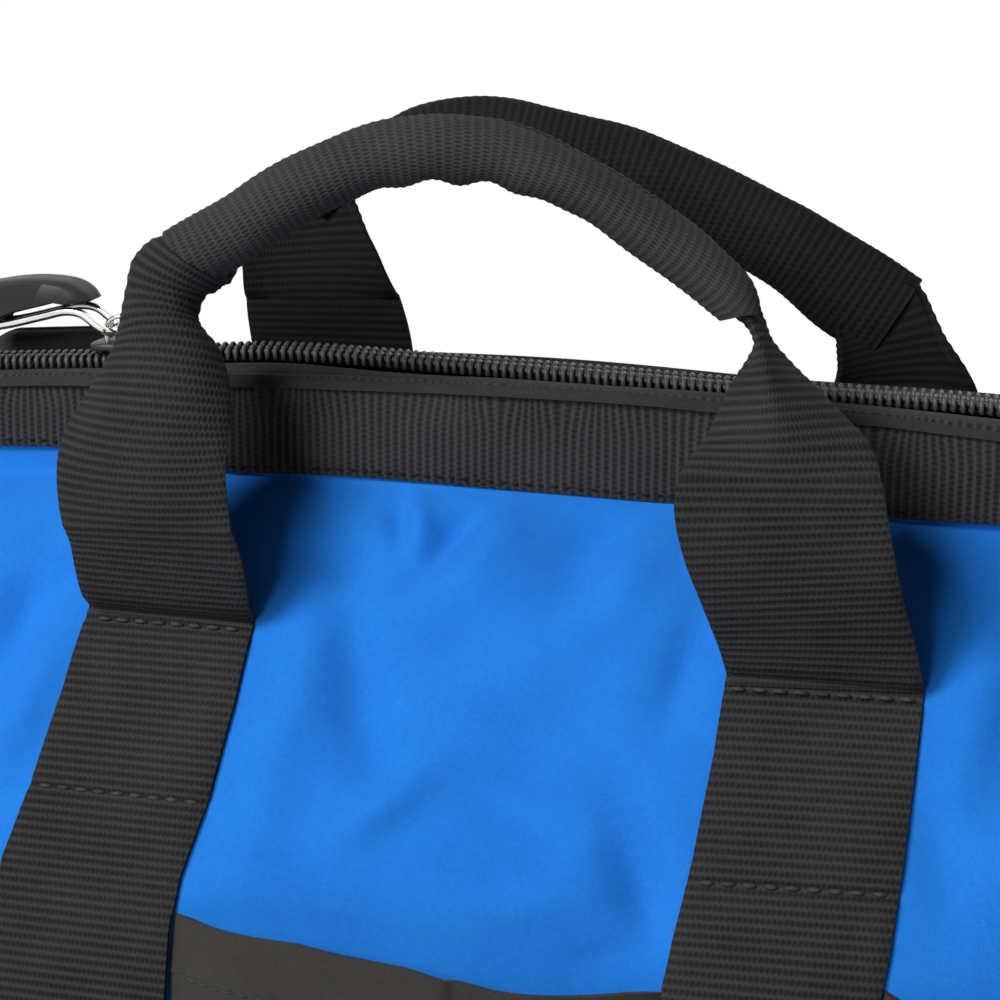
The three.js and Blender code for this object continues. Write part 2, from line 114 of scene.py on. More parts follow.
def add_object(name, data):
    thing = bpy.data.objects.new(name, data)
    bpy.context.scene.collection.objects.link(thing)
    return thing


def add_looking(name, data, target, azimuth, elevation, distance):
    """A camera or lamp that looks at a target. Azimuth 0 is the front and 90 the right."""
    turn, rise = math.radians(azimuth), math.radians(elevation)
    back = Vector((math.sin(turn) * math.cos(rise), -math.cos(turn) * math.cos(rise), math.sin(rise)))
    thing = add_object(name, data)
    thing.location = (Vector(target) + back * distance) * MM
    thing.rotation_mode = "QUATERNION"
    thing.rotation_quaternion = (-back).to_track_quat("-Z", "Y")
    return thing


def add_camera():
    data = bpy.data.cameras.new("camera")
    data.lens = data.sensor_width * FOCAL_PIXELS / PICTURE_PIXELS
    bpy.context.scene.camera = add_looking(
        "camera", data, CAMERA_TARGET, CAMERA_AZIMUTH, CAMERA_ELEVATION, CAMERA_DISTANCE,
    )


# Curves and numbers.

def ease(low, high, value):
    share = np.clip((np.asarray(value, float) - low) / (high - low), 0, 1)
    return share * share * (3 - 2 * share)


def bell(value, middle, width):
    return np.exp(-((value - middle) / width) ** 2)


def signed_power(value, power):
    return np.sign(value) * np.abs(value) ** power


def full_turn(steps):
    return np.linspace(0, 2 * np.pi, steps, endpoint=False)


def stacked(*columns):
    """Points or marks from their columns, which may be single values."""
    return np.stack(np.broadcast_arrays(*columns), axis=-1)


def quadratic(start, control, end, share):
    start, control, end = (np.array(p, float) for p in (start, control, end))
    share = share[:, None]
    return start * (1 - share) ** 2 + control * 2 * share * (1 - share) + end * share ** 2


def unit(vectors):
    return vectors / np.maximum(np.linalg.norm(vectors, axis=-1, keepdims=True), 1e-9)


def lengths_along(points):
    steps = np.linalg.norm(np.diff(points[:, :3], axis=0), axis=1)
    return np.concatenate([[0], np.cumsum(steps)])


def at_lengths(wanted, reach, points):
    """The points' columns at wanted lengths along their line."""
    return stacked(*(np.interp(wanted, reach, column) for column in points.T))


def between(t, start, end, first, second):
    return (first * (end - t) + second * (t - start)) / (end - start)


def smooth_line(points, step):
    """Points every step along a smooth curve through the given ones. Columns past the third go along."""
    points = np.array(points, float)
    ends = np.vstack([2 * points[0] - points[1], points, 2 * points[-1] - points[-2]])
    spans = np.sqrt(np.linalg.norm(np.diff(ends[:, :3], axis=0), axis=1))
    knots = np.concatenate([[0], np.cumsum(spans)])
    dense = []
    for i in range(1, len(points)):
        t = np.linspace(knots[i], knots[i + 1], 40)[:, None]
        k = knots[i - 1:i + 3]
        p = ends[i - 1:i + 3]
        first = [between(t, k[j], k[j + 1], p[j], p[j + 1]) for j in range(3)]
        second = [between(t, k[j], k[j + 2], first[j], first[j + 1]) for j in range(2)]
        piece = between(t, k[1], k[2], *second)
        dense.append(piece if i == len(points) - 1 else piece[:-1])
    dense = np.vstack(dense)
    reach = lengths_along(dense)
    count = max(int(round(reach[-1] / step)), 2)
    return at_lengths(np.linspace(0, reach[-1], count + 1), reach, dense)


def ribs(along, pitch, height=RIB_HEIGHT):
    """Narrow rounded ribs, from 0 between two ribs to height on a rib."""
    return height * (0.5 + 0.5 * np.cos(2 * np.pi * along / pitch)) ** 1.3


def webbing_form(length, edge):
    """Half the thickness of webbing and the rise of its ribs. Both are less towards its edges."""
    return WEBBING * (1 - 0.4 * edge) / 2, ribs(length, RIB_PITCH) * (1 - edge)


def soft_noise(x, z, scale, seed):
    """A smooth uneven field between about -1 and 1, from a few crossed waves."""
    total = 0
    for i in range(5):
        turn = seed * 1.7 + i * 2.399
        size = scale * (0.7 + 0.23 * i)
        along = x * math.cos(turn) + z * math.sin(turn)
        total = total + np.sin(along / size * 2 * np.pi + seed * 3.1 + i * 1.3)
    return total / 3


# Meshes.

def grid_faces(rows, columns):
    """Faces of a grid of points that is closed round its columns."""
    row = np.arange(rows - 1)[:, None] * columns
    column = np.arange(columns)[None, :]
    after = (column + 1) % columns
    faces = stacked(row + column, row + after, row + columns + after, row + columns + column)
    return faces.reshape(-1, 4)


def grid_normals(grid):
    return unit(np.cross(np.gradient(grid, axis=0), np.gradient(grid, axis=1)))


def outward(grid, towards):
    """Unit normals of a grid of points, on the side that the direction points to."""
    normals = grid_normals(grid)
    return normals * np.sign(np.sum(normals * np.array(towards)))


class Shape:
    """Points, faces and each point's place in the weave, gathered for one mesh."""

    def __init__(self):
        self.points = []
        self.faces = []
        self.slots = []
        self.weave = []
        self.count = 0

    def add(self, points, faces, weave, slot):
        points = points.reshape(-1, 3)
        weave = np.zeros((len(points), 2)) if weave is None else weave.reshape(-1, 2)
        self.points.append(points)
        self.weave.append(stacked(*weave.T, 0))
        self.faces.append(faces + self.count)
        self.slots.append(np.full(len(faces), slot))
        self.count += len(points)
        return self

    def loft(self, loops, weave=None, slot=0, turn=0):
        """A closed body through loops of an even number of points. Its caps start turn points later."""
        rows, columns = loops.shape[:2]
        i = np.arange(columns // 2 - 1)
        cap = (stacked(i, i + 1, columns - 2 - i, columns - 1 - i) + turn) % columns
        faces = [grid_faces(rows, columns), cap, cap[:, ::-1] + (rows - 1) * columns]
        return self.add(loops, np.vstack(faces), weave, slot)

    def slab(self, outer, inner, weave):
        """A sheet with thickness, between two grids of points."""
        loops = np.concatenate([outer, inner[:, ::-1]], axis=1)
        return self.loft(loops, np.concatenate([weave, weave[:, ::-1]], axis=1))

    def ring(self, loops, weave=None):
        """A closed body from loops that follow each other round and back to the first."""
        rows, columns = loops.shape[:2]
        return self.add(loops, grid_faces(rows + 1, columns) % (rows * columns), weave, 0)

    def sleeve(self, outer, inner, weave):
        """A tube with thickness, open at its ends, between two stacks of loops."""
        return self.ring(np.concatenate([outer, inner[::-1]]), np.concatenate([weave, weave[::-1]]))

    def make(self, name, materials, slot, nodes=(), body=None, sharp=60):
        """The piece, with the nodes that it stands for and the body that it rides on. The slot is not used.
        """
        mesh = bpy.data.meshes.new(name)
        mesh.from_pydata((np.vstack(self.points) * MM).tolist(), [], np.vstack(self.faces).tolist())
        marks = mesh.attributes.new("weave", "FLOAT_VECTOR", "POINT")
        marks.data.foreach_set("vector", np.vstack(self.weave).ravel())
        for material in materials:
            mesh.materials.append(material)
        mesh.polygons.foreach_set("material_index", np.concatenate(self.slots).astype(np.int32))
        solid = bmesh.new()
        solid.from_mesh(mesh)
        bmesh.ops.recalc_face_normals(solid, faces=solid.faces)
        solid.to_mesh(mesh)
        solid.free()
        mesh.shade_smooth()
        mesh.set_sharp_from_angle(angle=math.radians(sharp))
        piece = add_object(name, mesh)
        if nodes:
            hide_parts(*nodes)
        if body:
            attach(piece, body)
        return piece


def bend_with_mouth(piece):
    """Bakes the piece's transform into its mesh; nothing here turns it with the mouth."""
    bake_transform(piece)


def tube(shape, points, radius, sides, slot=0):
    """A round wire or thread along a line of points, with its ends drawn in."""
    tangent = unit(np.gradient(points, axis=0))
    start = np.array([0, 0, 1.0]) if abs(tangent[0][2]) < 0.9 else np.array([0, 1.0, 0])
    side = unit(np.cross(tangent[0], start))
    turn = full_turn(sides)[:, None]
    radii = np.broadcast_to(radius, len(points))
    loops = []
    for point, direction, size in zip(points, tangent, radii):
        side = unit(side - direction * np.dot(side, direction))
        up = np.cross(direction, side)
        loops.append(point + size * (np.cos(turn) * side + np.sin(turn) * up))
    first = points[0] + (loops[0] - points[0]) * 0.5 - tangent[0] * radii[0] * 0.5
    last = points[-1] + (loops[-1] - points[-1]) * 0.5 + tangent[-1] * radii[-1] * 0.5
    shape.loft(np.array([first, *loops, last]), slot=slot)


THREAD_SLOT = 1


def stitch_row(shape, points, normals, length, gap, radius, sink=0.15):
    """Stitches along a line on a surface: short threads with rounded ends that dip into it."""
    reach = lengths_along(points)
    count = int((reach[-1] - length) / (length + gap)) + 1
    margin = (reach[-1] - count * length - (count - 1) * gap) / 2
    share = np.linspace(0, 1, 7)
    swell = np.sin(np.pi * share)
    rise = swell ** 0.5 * radius - sink - radius * 0.3
    for i in range(count):
        wanted = margin + i * (length + gap) + share * length
        line = at_lengths(wanted, reach, points) + at_lengths(wanted, reach, normals) * rise[:, None]
        tube(shape, line, radius * (0.6 + 0.4 * swell), 6, THREAD_SLOT)


# The wall: half depth and height against length along the cloth, from the foot over the fold to the hem.

class Wall:
    def __init__(self):
        share = np.linspace(0, 1, 400)
        belly = np.array((BELLY_DEPTH, BELLY_HEIGHT), float)
        fold = np.array((FOLD_DEPTH, FOLD_HEIGHT), float)
        shoulder = fold + unit(fold - belly) * SHOULDER_REACH
        lower = quadratic((HALF_BASE, WALL_FOOT), belly, fold, share)
        upper = quadratic(fold, shoulder, (HALF_NECK, BAND_BOTTOM), share)
        hem = stacked(HALF_NECK, np.linspace(BAND_BOTTOM, HEM_TOP, 80))
        points = self.rounded(np.vstack([lower, upper[1:], hem[1:]]))
        self.reach = lengths_along(points)
        tangent = unit(np.gradient(points, self.reach, axis=0))
        self.depths, self.heights, self.out, self.up = *points.T, tangent[:, 1], -tangent[:, 0]

    @staticmethod
    def rounded(points, step=0.5, reach=7):
        """The section at even steps, with its corners eased."""
        path = lengths_along(points)
        even = at_lengths(np.linspace(0, path[-1], int(path[-1] / step)), path, points)
        weights = np.hanning(2 * reach + 3)[1:-1]
        weights = weights / weights.sum()
        ends = np.vstack([2 * even[0] - even[reach:0:-1], even, 2 * even[-1] - even[-2:-reach - 2:-1]])
        return stacked(*(np.convolve(column, weights, "valid") for column in ends.T))

    def length_at(self, height):
        return np.interp(height, self.heights, self.reach)

    def depth_at(self, height):
        return np.interp(height, self.heights, self.depths)

    def height_at(self, length):
        return np.interp(length, self.reach, self.heights)

    def normal(self, side, length):
        out, up = (np.interp(length, self.reach, column) for column in (self.out, self.up))
        return stacked(0, side * out, up)

    def point(self, side, x, length, lift):
        """Points on the wall, moved out along its normal."""
        normal = self.normal(1, length)
        depth = np.interp(length, self.reach, self.depths) + normal[..., 1] * lift
        return placed(side, x, depth, self.height_at(length) + normal[..., 2] * lift)


def placed(side, x, depth, height):
    """A point of the section at a place along the bag. The top is an arch, and what is under it sinks too."""
    share = np.clip((height - FOLD_HEIGHT) / (BAND_BOTTOM - FOLD_HEIGHT), 0, 1)
    drop = ARCH_RADIUS - np.sqrt(ARCH_RADIUS ** 2 - x ** 2)
    return stacked(x, side * depth, height - drop * share)


WALL = Wall()
HEM_LENGTH = WALL.reach[-1]


# Materials.

def add_node(tree, kind, inputs=None, **settings):
    node = tree.nodes.new("ShaderNode" + kind)
    for key, value in settings.items():
        setattr(node, key, value)
    for key, value in (inputs or {}).items():
        if isinstance(value, bpy.types.NodeSocket):
            tree.links.new(value, node.inputs[key])
        else:
            node.inputs[key].default_value = value
    return node


def calc(tree, operation, first, second=0.0, third=0.0):
    inputs = {0: first, 1: second, 2: third}
    return add_node(tree, "Math", inputs, operation=operation).outputs[0]


def plus(tree, total, value, weight):
    return calc(tree, "ADD", total, calc(tree, "MULTIPLY", value, weight))


def noise(tree, scale, detail=3):
    place = add_node(tree, "TexCoord").outputs["Object"]
    inputs = {"Vector": place, "Scale": scale, "Detail": detail, "Roughness": 0.55}
    return add_node(tree, "TexNoise", inputs).outputs["Fac"]


def new_finish(name, **values):
    material = bpy.data.materials.new(name)
    material.use_nodes = True
    shader = material.node_tree.nodes["Principled BSDF"]
    for key, value in values.items():
        shader.inputs[key.replace("_", " ")].default_value = value
    return material, material.node_tree, shader


def weave_axes(tree):
    marks = add_node(tree, "Attribute", attribute_name="weave")
    axes = add_node(tree, "SeparateXYZ", {0: marks.outputs["Vector"]})
    return axes.outputs[0], axes.outputs[1]


def wave(tree, value, pitch, shift=0.0):
    return calc(tree, "SINE", calc(tree, "MULTIPLY_ADD", value, 2 * math.pi / pitch, shift))


def coloured(tree, shader, share, deep, light):
    inputs = {0: share, 6: (*deep, 1), 7: (*light, 1)}
    node = add_node(tree, "Mix", inputs, data_type="RGBA")
    tree.links.new(node.outputs[2], shader.inputs["Base Color"])


def raised(tree, shader, height, distance, strength):
    inputs = {"Height": height, "Distance": distance, "Strength": strength}
    bump = add_node(tree, "Bump", inputs)
    tree.links.new(bump.outputs[0], shader.inputs["Normal"])


def woven_finish(name, deep, light, thread=0.55):
    """A plain woven cloth: fine crossed threads with soft uneven dye."""
    material, tree, shader = new_finish(
        name, Roughness=0.85, Sheen_Weight=0.04, Sheen_Roughness=0.45, Specular_IOR_Level=0.06,
    )
    across, along = weave_axes(tree)
    threads = calc(tree, "MULTIPLY", wave(tree, across, thread), wave(tree, along, thread))
    grain = noise(tree, 900, 2)
    share = calc(tree, "MULTIPLY_ADD", threads, 0.14, 0.08)
    share = plus(tree, plus(tree, share, noise(tree, 38), 0.55), grain, 0.3)
    coloured(tree, shader, share, deep, light)
    raised(tree, shader, plus(tree, threads, grain, 0.8), 0.00006, 0.7)
    return material


def webbing_finish(name, deep, light, pitch=RIB_PITCH, dot=1.1, painted_rib_light_share=0.5, dot_share=0.16, roughness=0.8):
    """Ribbed webbing: painted shade between its ribs and a painted highlight along each rib's top, with small
    dots along each rib, shifted from rib to rib.
    """
    material, tree, shader = new_finish(
        name, Roughness=roughness, Sheen_Weight=0.02, Sheen_Roughness=0.35, Specular_IOR_Level=0.05,
    )
    across, along = weave_axes(tree)
    # The rib term is painted light: lighter along each rib's top as a painted highlight, darker between the
    # ribs as painted shade.
    rib = calc(tree, "MULTIPLY_ADD", wave(tree, along, pitch, math.pi / 2), 0.5, 0.5)
    rib = calc(tree, "POWER", rib, 1.5)
    step = calc(tree, "FLOOR", calc(tree, "DIVIDE", along, pitch))
    dots = calc(tree, "ABSOLUTE", wave(tree, plus(tree, across, step, dot / 2), 2 * dot))
    grain = noise(tree, 1500, 2)
    share = plus(tree, calc(tree, "MULTIPLY", rib, painted_rib_light_share), dots, dot_share)
    share = calc(tree, "ADD", share, calc(tree, "MULTIPLY_ADD", noise(tree, 60), 0.42, -0.16))
    coloured(tree, shader, plus(tree, share, grain, 0.3), deep, light)
    raised(tree, shader, plus(tree, dots, grain, 0.7), 0.00014, 0.8)
    return material


def plain_finish(name, deep, light, scale, bump=0.00003, **values):
    """A moulded or metal surface with slight unevenness."""
    material, tree, shader = new_finish(name, **values)
    coloured(tree, shader, noise(tree, scale), deep, light)
    raised(tree, shader, noise(tree, scale * 6, 2), bump, 0.6)
    return material


WEB_DEEP = (0.003, 0.003, 0.0035)
WEB_LIGHT = (0.05, 0.05, 0.052)
BLUE = woven_finish("blue_cloth", (0.006, 0.095, 0.4), (0.02, 0.215, 0.73))
LINING = woven_finish("lining_cloth", (0.012, 0.012, 0.013), (0.04, 0.04, 0.042))
POCKET = woven_finish("pocket_cloth", (0.014, 0.013, 0.0115), (0.05, 0.047, 0.042), thread=0.9)
TAPE = woven_finish("zip_tape_cloth", (0.01, 0.01, 0.011), (0.045, 0.045, 0.048), thread=0.7)
WEB = webbing_finish("black_webbing", WEB_DEEP, (0.04, 0.04, 0.042))
GRIP_WEB = webbing_finish("grip_webbing", WEB_DEEP, WEB_LIGHT, dot=0.9, painted_rib_light_share=0.25, dot_share=0.4)
BAND_WEB = webbing_finish("band_webbing", WEB_DEEP, WEB_LIGHT, BAND_RIB_PITCH, dot=1.3)
# A darker copy of the webbing for the back handle's legs and grip: painted shade, as they stand in shade.
SHADED_WEB = webbing_finish("painted_shade_webbing", (0.002, 0.002, 0.0025), (0.016, 0.016, 0.017), roughness=0.7)
THREAD = plain_finish(
    "sewing_thread", (0.01, 0.01, 0.01), (0.06, 0.06, 0.06), 400, Roughness=0.6, Specular_IOR_Level=0.1,
)
COIL = plain_finish(
    "coil_nylon", (0.02, 0.02, 0.021), (0.085, 0.085, 0.088), 500, Roughness=0.38, Specular_IOR_Level=0.3,
)
NICKEL = plain_finish(
    "nickel", (0.62, 0.58, 0.54), (0.86, 0.84, 0.82), 120, 0.00001, Metallic=1, Roughness=0.16,
)
STEEL = plain_finish("steel_strip", (0.3, 0.31, 0.32), (0.45, 0.46, 0.47), 60, Metallic=1, Roughness=0.38)
BOARD = plain_finish("stiff_board", (0.03, 0.03, 0.03), (0.07, 0.07, 0.07), 90, 0.00015, Roughness=0.7)
RUBBER = plain_finish(
    "rubber", (0.012, 0.012, 0.013), (0.03, 0.03, 0.032), 150, 0.00004,
    Roughness=0.42, Specular_IOR_Level=0.14,
)
# Near-black finish for the slider's plates: painted shade, for the slider's body that lies in shadow below
# the pull.
SHADED_PLATE_FINISH = plain_finish("painted_shade_plate", (0.01, 0.01, 0.01), (0.02, 0.02, 0.02), 200, 0.00001, Roughness=0.45)
FOAM = plain_finish("foam", (0.01, 0.01, 0.01), (0.025, 0.025, 0.025), 500, 0.0002, Roughness=0.9)


def keep_cad(node, material):
    """A CAD node that shows as it is, with a finished surface."""
    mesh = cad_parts[node].data
    mesh.materials.clear()
    mesh.materials.append(material)


# Soft folds of the walls: place along the bag, height, turn in degrees, half length, half width and rise.
FRONT_FOLDS = [
    (-38, 191, 0, 15, 5, -2), (-28, 199, -62, 6, 3, -2), (-24, 199, -62, 6, 3, 1.6),
    (-16, 196, 46, 10, 3.6, -2.8), (-6, 193, 50, 10, 5, 1.6), (16, 196, 46, 11, 7, -2.8),
    (28, 194, 46, 12, 6, 2.2), (42, 178, 75, 12, 5, -2.6), (-29, 167, -67, 19, 6.5, -3),
    (-44, 160, 80, 22, 7, 1.8), (-19, 147, 37, 11, 4.5, 2.4), (4, 150, -17, 16, 6, -2.4),
    (2, 172, 20, 16, 9, 2), (37, 138, -63, 15, 6, -3.4), (18, 132, 15, 14, 6, 1.8),
    (31, 121, 10, 7, 4, -1.6), (-114, 177, 75, 14, 7, -4), (-105, 163, 70, 14, 6, 2.4),
    (-124, 150, 30, 18, 9, 1.6), (103, 174, 80, 16, 7, 2.4), (97, 150, -70, 14, 6, -2.2),
    (122, 160, 60, 16, 9, 1.4), (128, 190, 30, 16, 7, 1.2),
]
BACK_FOLDS = [
    (-40, 186, 50, 18, 7, 1.6), (-10, 176, -60, 16, 6, -1.5), (22, 190, 35, 16, 6, 1.5),
    (44, 160, 70, 18, 8, -1.4), (-24, 150, 20, 20, 8, 1.5), (8, 140, -30, 18, 7, -1.3),
    (-116, 184, 65, 18, 9, -2), (-128, 158, 40, 18, 9, 1.7), (118, 176, -70, 20, 9, -2),
    (126, 154, 20, 18, 8, 1.6),
]
FOLD_STRENGTH = 1.45


def folds(side, x, height):
    """How far the cloth stands out of the wall's section, in soft folds that calm down under the straps."""
    total = 0.7 * soft_noise(x, height, 70, 2 + side) + 0.3 * soft_noise(x, height, 31, 5 + side)
    for place, level, degrees, reach, width, rise in FRONT_FOLDS if side < 0 else BACK_FOLDS:
        turn = math.radians(degrees)
        along = (x - place) * math.cos(turn) + (height - level) * math.sin(turn)
        across = (height - level) * math.cos(turn) - (x - place) * math.sin(turn)
        total = total + FOLD_STRENGTH * rise * np.exp(-(along / reach) ** 2 - (across / width) ** 2)
    open_edges = ease(112, 128, height) * (1 - ease(198, BAND_BOTTOM, height))
    under_strap = 1
    for mirror in (-1, 1):
        middle = mirror * strap_middle(side, mirror, height)
        under_strap = under_strap * (1 - 0.85 * np.exp(-((x - middle) / 24) ** 4))
    return total * open_edges * under_strap


# How the two front straps wander on the wall: heights, and at each the strap's middle and half width.
STRAP_LEVELS = (3, 60, 103, 119, 128, 144, 163, 178)
FRONT_STRAPS = {
    -1: ((86, 85, 84.5, 85.8, 85.2, 81, 77.6, 76.2), (20, 20, 20.4, 21.2, 21.5, 21.4, 20.6, 20.1)),
    1: ((76, 71, 66.4, 66.6, 67.8, 69.8, 71.2, 71.7), (20, 20.4, 21.6, 22.1, 22.2, 21.4, 20.8, 20.6)),
}
BACK_STRAP_MIDDLE = 73
BACK_STRAP_SPLAY = 0.1


def strap_middle(side, mirror, height):
    """How far a strap's middle is from the middle of the bag, at a height."""
    if side < 0:
        return np.interp(height, STRAP_LEVELS, FRONT_STRAPS[mirror][0])
    return BACK_STRAP_MIDDLE + BACK_STRAP_SPLAY * (STITCH_HEIGHT - height)


def strap_half(side, mirror, height):
    return np.interp(height, STRAP_LEVELS, FRONT_STRAPS[mirror][1]) if side < 0 else STRAP_HALF


# The body below the fold: one lofted shell with rounded corners, lined inside.

FLAT_STEPS = 90
END_STEPS = 52
CORNER_STEPS = 9
SHELL_ROWS = 64
SHELL_TOP = 120
LINING_TOP = 116


def ring_line(half_length, half_depth, corner, height):
    """A level rounded rectangle, as points anticlockwise from the front left corner."""
    turn = np.linspace(0, np.pi / 2, CORNER_STEPS, endpoint=False)
    flat = np.linspace(-1, 1, FLAT_STEPS, endpoint=False)
    end = np.linspace(-1, 1, END_STEPS, endpoint=False)
    run = half_length - corner
    rise = half_depth - corner
    front = stacked(flat * run, -half_depth)
    right = stacked(half_length, end * rise)
    centres = [(run, -rise), (run, rise), (-run, rise), (-run, -rise)]
    line = []
    for i, side in enumerate([front, right, -front, -right]):
        angle = -np.pi / 2 + i * np.pi / 2 + turn
        line += [side, centres[i] + stacked(np.cos(angle), np.sin(angle)) * corner]
    return stacked(*np.vstack(line).T, height)


def shell_grid(inset, top):
    grid = []
    for height in np.linspace(WALL_FOOT, top, SHELL_ROWS):
        corner = max(CORNER - 9 * ease(60, 120, height) - inset, 1.5)
        grid.append(ring_line(HALF_LENGTH - inset, WALL.depth_at(height) - inset, corner, height))
    grid = np.array(grid)
    away = grid * (1, 1, 0)
    away[..., 0] *= (HALF_BASE / HALF_LENGTH) ** 2
    height = grid[..., 2]
    calm = ease(WALL_FOOT, 30, height) * (1 - ease(100, 119, height))
    around = np.arctan2(grid[..., 1], grid[..., 0]) * 90
    sag = soft_noise(around, height, 46, 3) * 1.1 + soft_noise(around, height, 21, 8) * 0.4 - 0.9
    return grid + unit(away) * (sag * calm)[..., None]


def add_body():
    outer = shell_grid(0, SHELL_TOP)
    marks = stacked(lengths_along(outer[0]), outer[..., 2])
    walls = ["front_panel", "back_panel", "left_gusset", "right_gusset"]
    shell = Shape().sleeve(outer, shell_grid(CLOTH, SHELL_TOP), marks)
    shell.make("body_shell", [BLUE], "blue_fabric", walls, "root")
    lining = Shape().sleeve(shell_grid(CLOTH + 0.3, LINING_TOP), shell_grid(CLOTH + 1.3, LINING_TOP), marks)
    lining.make("body_lining", [LINING], "pocket_fabric", body="root")


def add_base():
    """The base: a slab of cloth with rounded corners and edges, and the stiff board on it."""
    levels = [(0, 1.6), (0.5, 0.5), (1.5, 0), (BASE_TOP - 0.6, 0), (BASE_TOP, 0.6)]
    loops = [
        ring_line(HALF_LENGTH - inset, HALF_BASE - inset, CORNER - inset, height) for height, inset in levels
    ]
    loops = np.array(loops)
    base = Shape().loft(loops, loops[..., :2], turn=FLAT_STEPS + CORNER_STEPS + END_STEPS // 2)
    base.make("base_cloth", [POCKET], "pocket_fabric", ["base_panel"], "root", sharp=80)
    keep_cad("base_board", BOARD)


FLAP_FOOT = 112
FLAP_COLUMNS = 224
FLAP_ROWS = 104


def add_flap(name, side):
    """One long side's cloth from below the fold up over the shoulder to the hem."""
    columns = np.linspace(-HALF_LENGTH, HALF_LENGTH, FLAP_COLUMNS)
    lengths = np.linspace(WALL.length_at(FLAP_FOOT), HEM_LENGTH - 3, FLAP_ROWS)
    x, length = np.meshgrid(columns, lengths)
    height = WALL.height_at(length)
    lift = 0.5 + CLOTH / 2 - 0.45 * (1 - ease(FLAP_FOOT, 119, height)) + folds(side, x, height)
    lift -= 1.2 * ease(HALF_LENGTH - 9, HALF_LENGTH, np.abs(x)) * ease(118, 124, height)
    outer = WALL.point(side, x, length, lift)
    cloth = Shape().slab(outer, WALL.point(side, x, length, lift - CLOTH), stacked(x, length))
    piece = cloth.make(f"{name}_flap_cloth", [BLUE], "blue_fabric", [f"{name}_flap_panel"])
    bend_with_mouth(piece)


PLEAT_REACH = 40
PLEAT_FOOT = 117
PLEAT_TOP = 203
PLEAT_BEND_WAY = (0, 0.795, 0.607)
PLEAT_BEND = (123.2, 134.7)


def add_pleat(hand, end, name, side):
    """A leaf of the end pleat, from the flap's edge in to the valley between the two flaps."""
    share = np.linspace(0, 1, 46)[:, None]
    across = np.linspace(0, 1, 30)[None, :]
    height = PLEAT_FOOT + (PLEAT_TOP - PLEAT_FOOT) * share
    outer_x = HALF_LENGTH - CLOTH - 0.1
    valley_x = outer_x - PLEAT_REACH * share
    edge = WALL.depth_at(height) - 2.4
    x = end * (outer_x + (valley_x - outer_x) * across ** 1.15)
    swell = 2.2 * np.sin(np.pi * across) * np.sin(np.pi * np.clip(share * 1.1, 0, 1))
    swell = swell + 0.7 * np.sin(3 * np.pi * across + 2) * share
    grid = placed(side, x + end * swell, edge + (0.1 - edge) * across, height)
    leaf = Shape().slab(grid, grid - outward(grid, (end, 0, 0.4)) * CLOTH, stacked(across * edge, height))
    node = f"{hand}_{name}_pleat"
    piece = leaf.make(f"{node}_cloth", [BLUE], "blue_fabric", [node])
    start, end = (tuple(np.array(PLEAT_BEND_WAY) * (1, side, 1) * reach * MM) for reach in PLEAT_BEND)
    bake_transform(piece)


# Straps: webbing sewn flat on the wall up to a stitched row, where the free part of the handle starts.

STITCH_DROP = 1.6


def row_tilt(side, mirror, height):
    """How far the strap's ribs rise from its left edge to its right, for each millimetre across."""
    if side > 0:
        return 0
    return 0.05 * ease(100, 140, height) if mirror > 0 else -0.02 * ease(120, 160, height)


def stitch_heights(side, mirror):
    """Heights of a strap's two stitched rows."""
    shift = 0 if side > 0 else 1.6 if mirror < 0 else -1.2
    return STITCH_HEIGHT + shift * 0.8, SECOND_STITCH_HEIGHT + shift * 1.4


def strap_lift(side, x, height):
    """How far the middle of a strap's thickness is from the wall."""
    over_pocket = 1.4 * ease(124, 116, height) if side < 0 else 0
    return 1.9 + np.maximum(folds(side, x, height), -0.4) * ease(112, 130, height) + over_pocket


def add_strap(name, side, hand, mirror):
    rows = stitch_heights(side, mirror)
    top = WALL.length_at(rows[0])
    lengths = np.linspace(0, top, int(round(top / RIB_STEP)))
    share, length = np.meshgrid(np.linspace(-1, 1, 23), lengths)
    height = WALL.height_at(length)
    across = share * strap_half(side, mirror, height)
    x = mirror * strap_middle(side, mirror, height) + across
    placed_length = length + across * row_tilt(side, mirror, height)
    edge = ease(0.92, 1, np.abs(share))
    lift = strap_lift(side, x, height) + 0.35 * np.sin(length / 17 + mirror) * (1 - edge)
    half_web, relief = webbing_form(length, edge)
    for row in rows:
        relief = relief - 0.5 * bell(length, WALL.length_at(row) - STITCH_DROP, 1.1)
    outer = WALL.point(side, x, placed_length, lift + half_web + relief)
    inner = WALL.point(side, x, placed_length, lift - half_web)
    strap = Shape().slab(outer, inner, stacked(share * STRAP_HALF, length))
    for row in rows:
        across_row = np.linspace(-0.94, 0.94, 30) * strap_half(side, mirror, row)
        sewn = WALL.length_at(row) - STITCH_DROP + across_row * row_tilt(side, mirror, row)
        place_x = mirror * strap_middle(side, mirror, row) + across_row
        points = WALL.point(side, place_x, sewn, strap_lift(side, place_x, row) + WEBBING / 2 + 0.12)
        stitch_row(strap, points, WALL.normal(side, sewn), 2.7, 1.7, 0.5)
    nodes = [f"{name}_{hand}_strap_lower", f"{name}_{hand}_strap_upper"]
    piece = strap.make(f"{name}_{hand}_strap", [WEB, THREAD], "black_webbing", nodes)
    bend_with_mouth(piece)


# Handles. A leg is a strap whose section rolls or folds together towards the grip.

LEG_ARCS = np.linspace(0.02, 3.0, 400)
LEG_WIDTHS = STRAP_HALF * np.where(LEG_ARCS < np.pi / 2, np.sin(LEG_ARCS) / LEG_ARCS, 1 / LEG_ARCS)
LEG_SINK = 0.6
EDGE_DROP = 0.27


def rolled_section(half, across, flatness):
    """Across and back places of a strap rolled into an arc that shows the given half width."""
    half = half - ease(19, 13, half)
    arc = np.interp(-half, -LEG_WIDTHS, LEG_ARCS)
    radius = STRAP_HALF / arc
    turn = across / STRAP_HALF * arc
    wide = np.maximum(half / STRAP_HALF, 1)
    return radius * np.sin(turn) * wide, radius * (1 - np.cos(turn)) * flatness


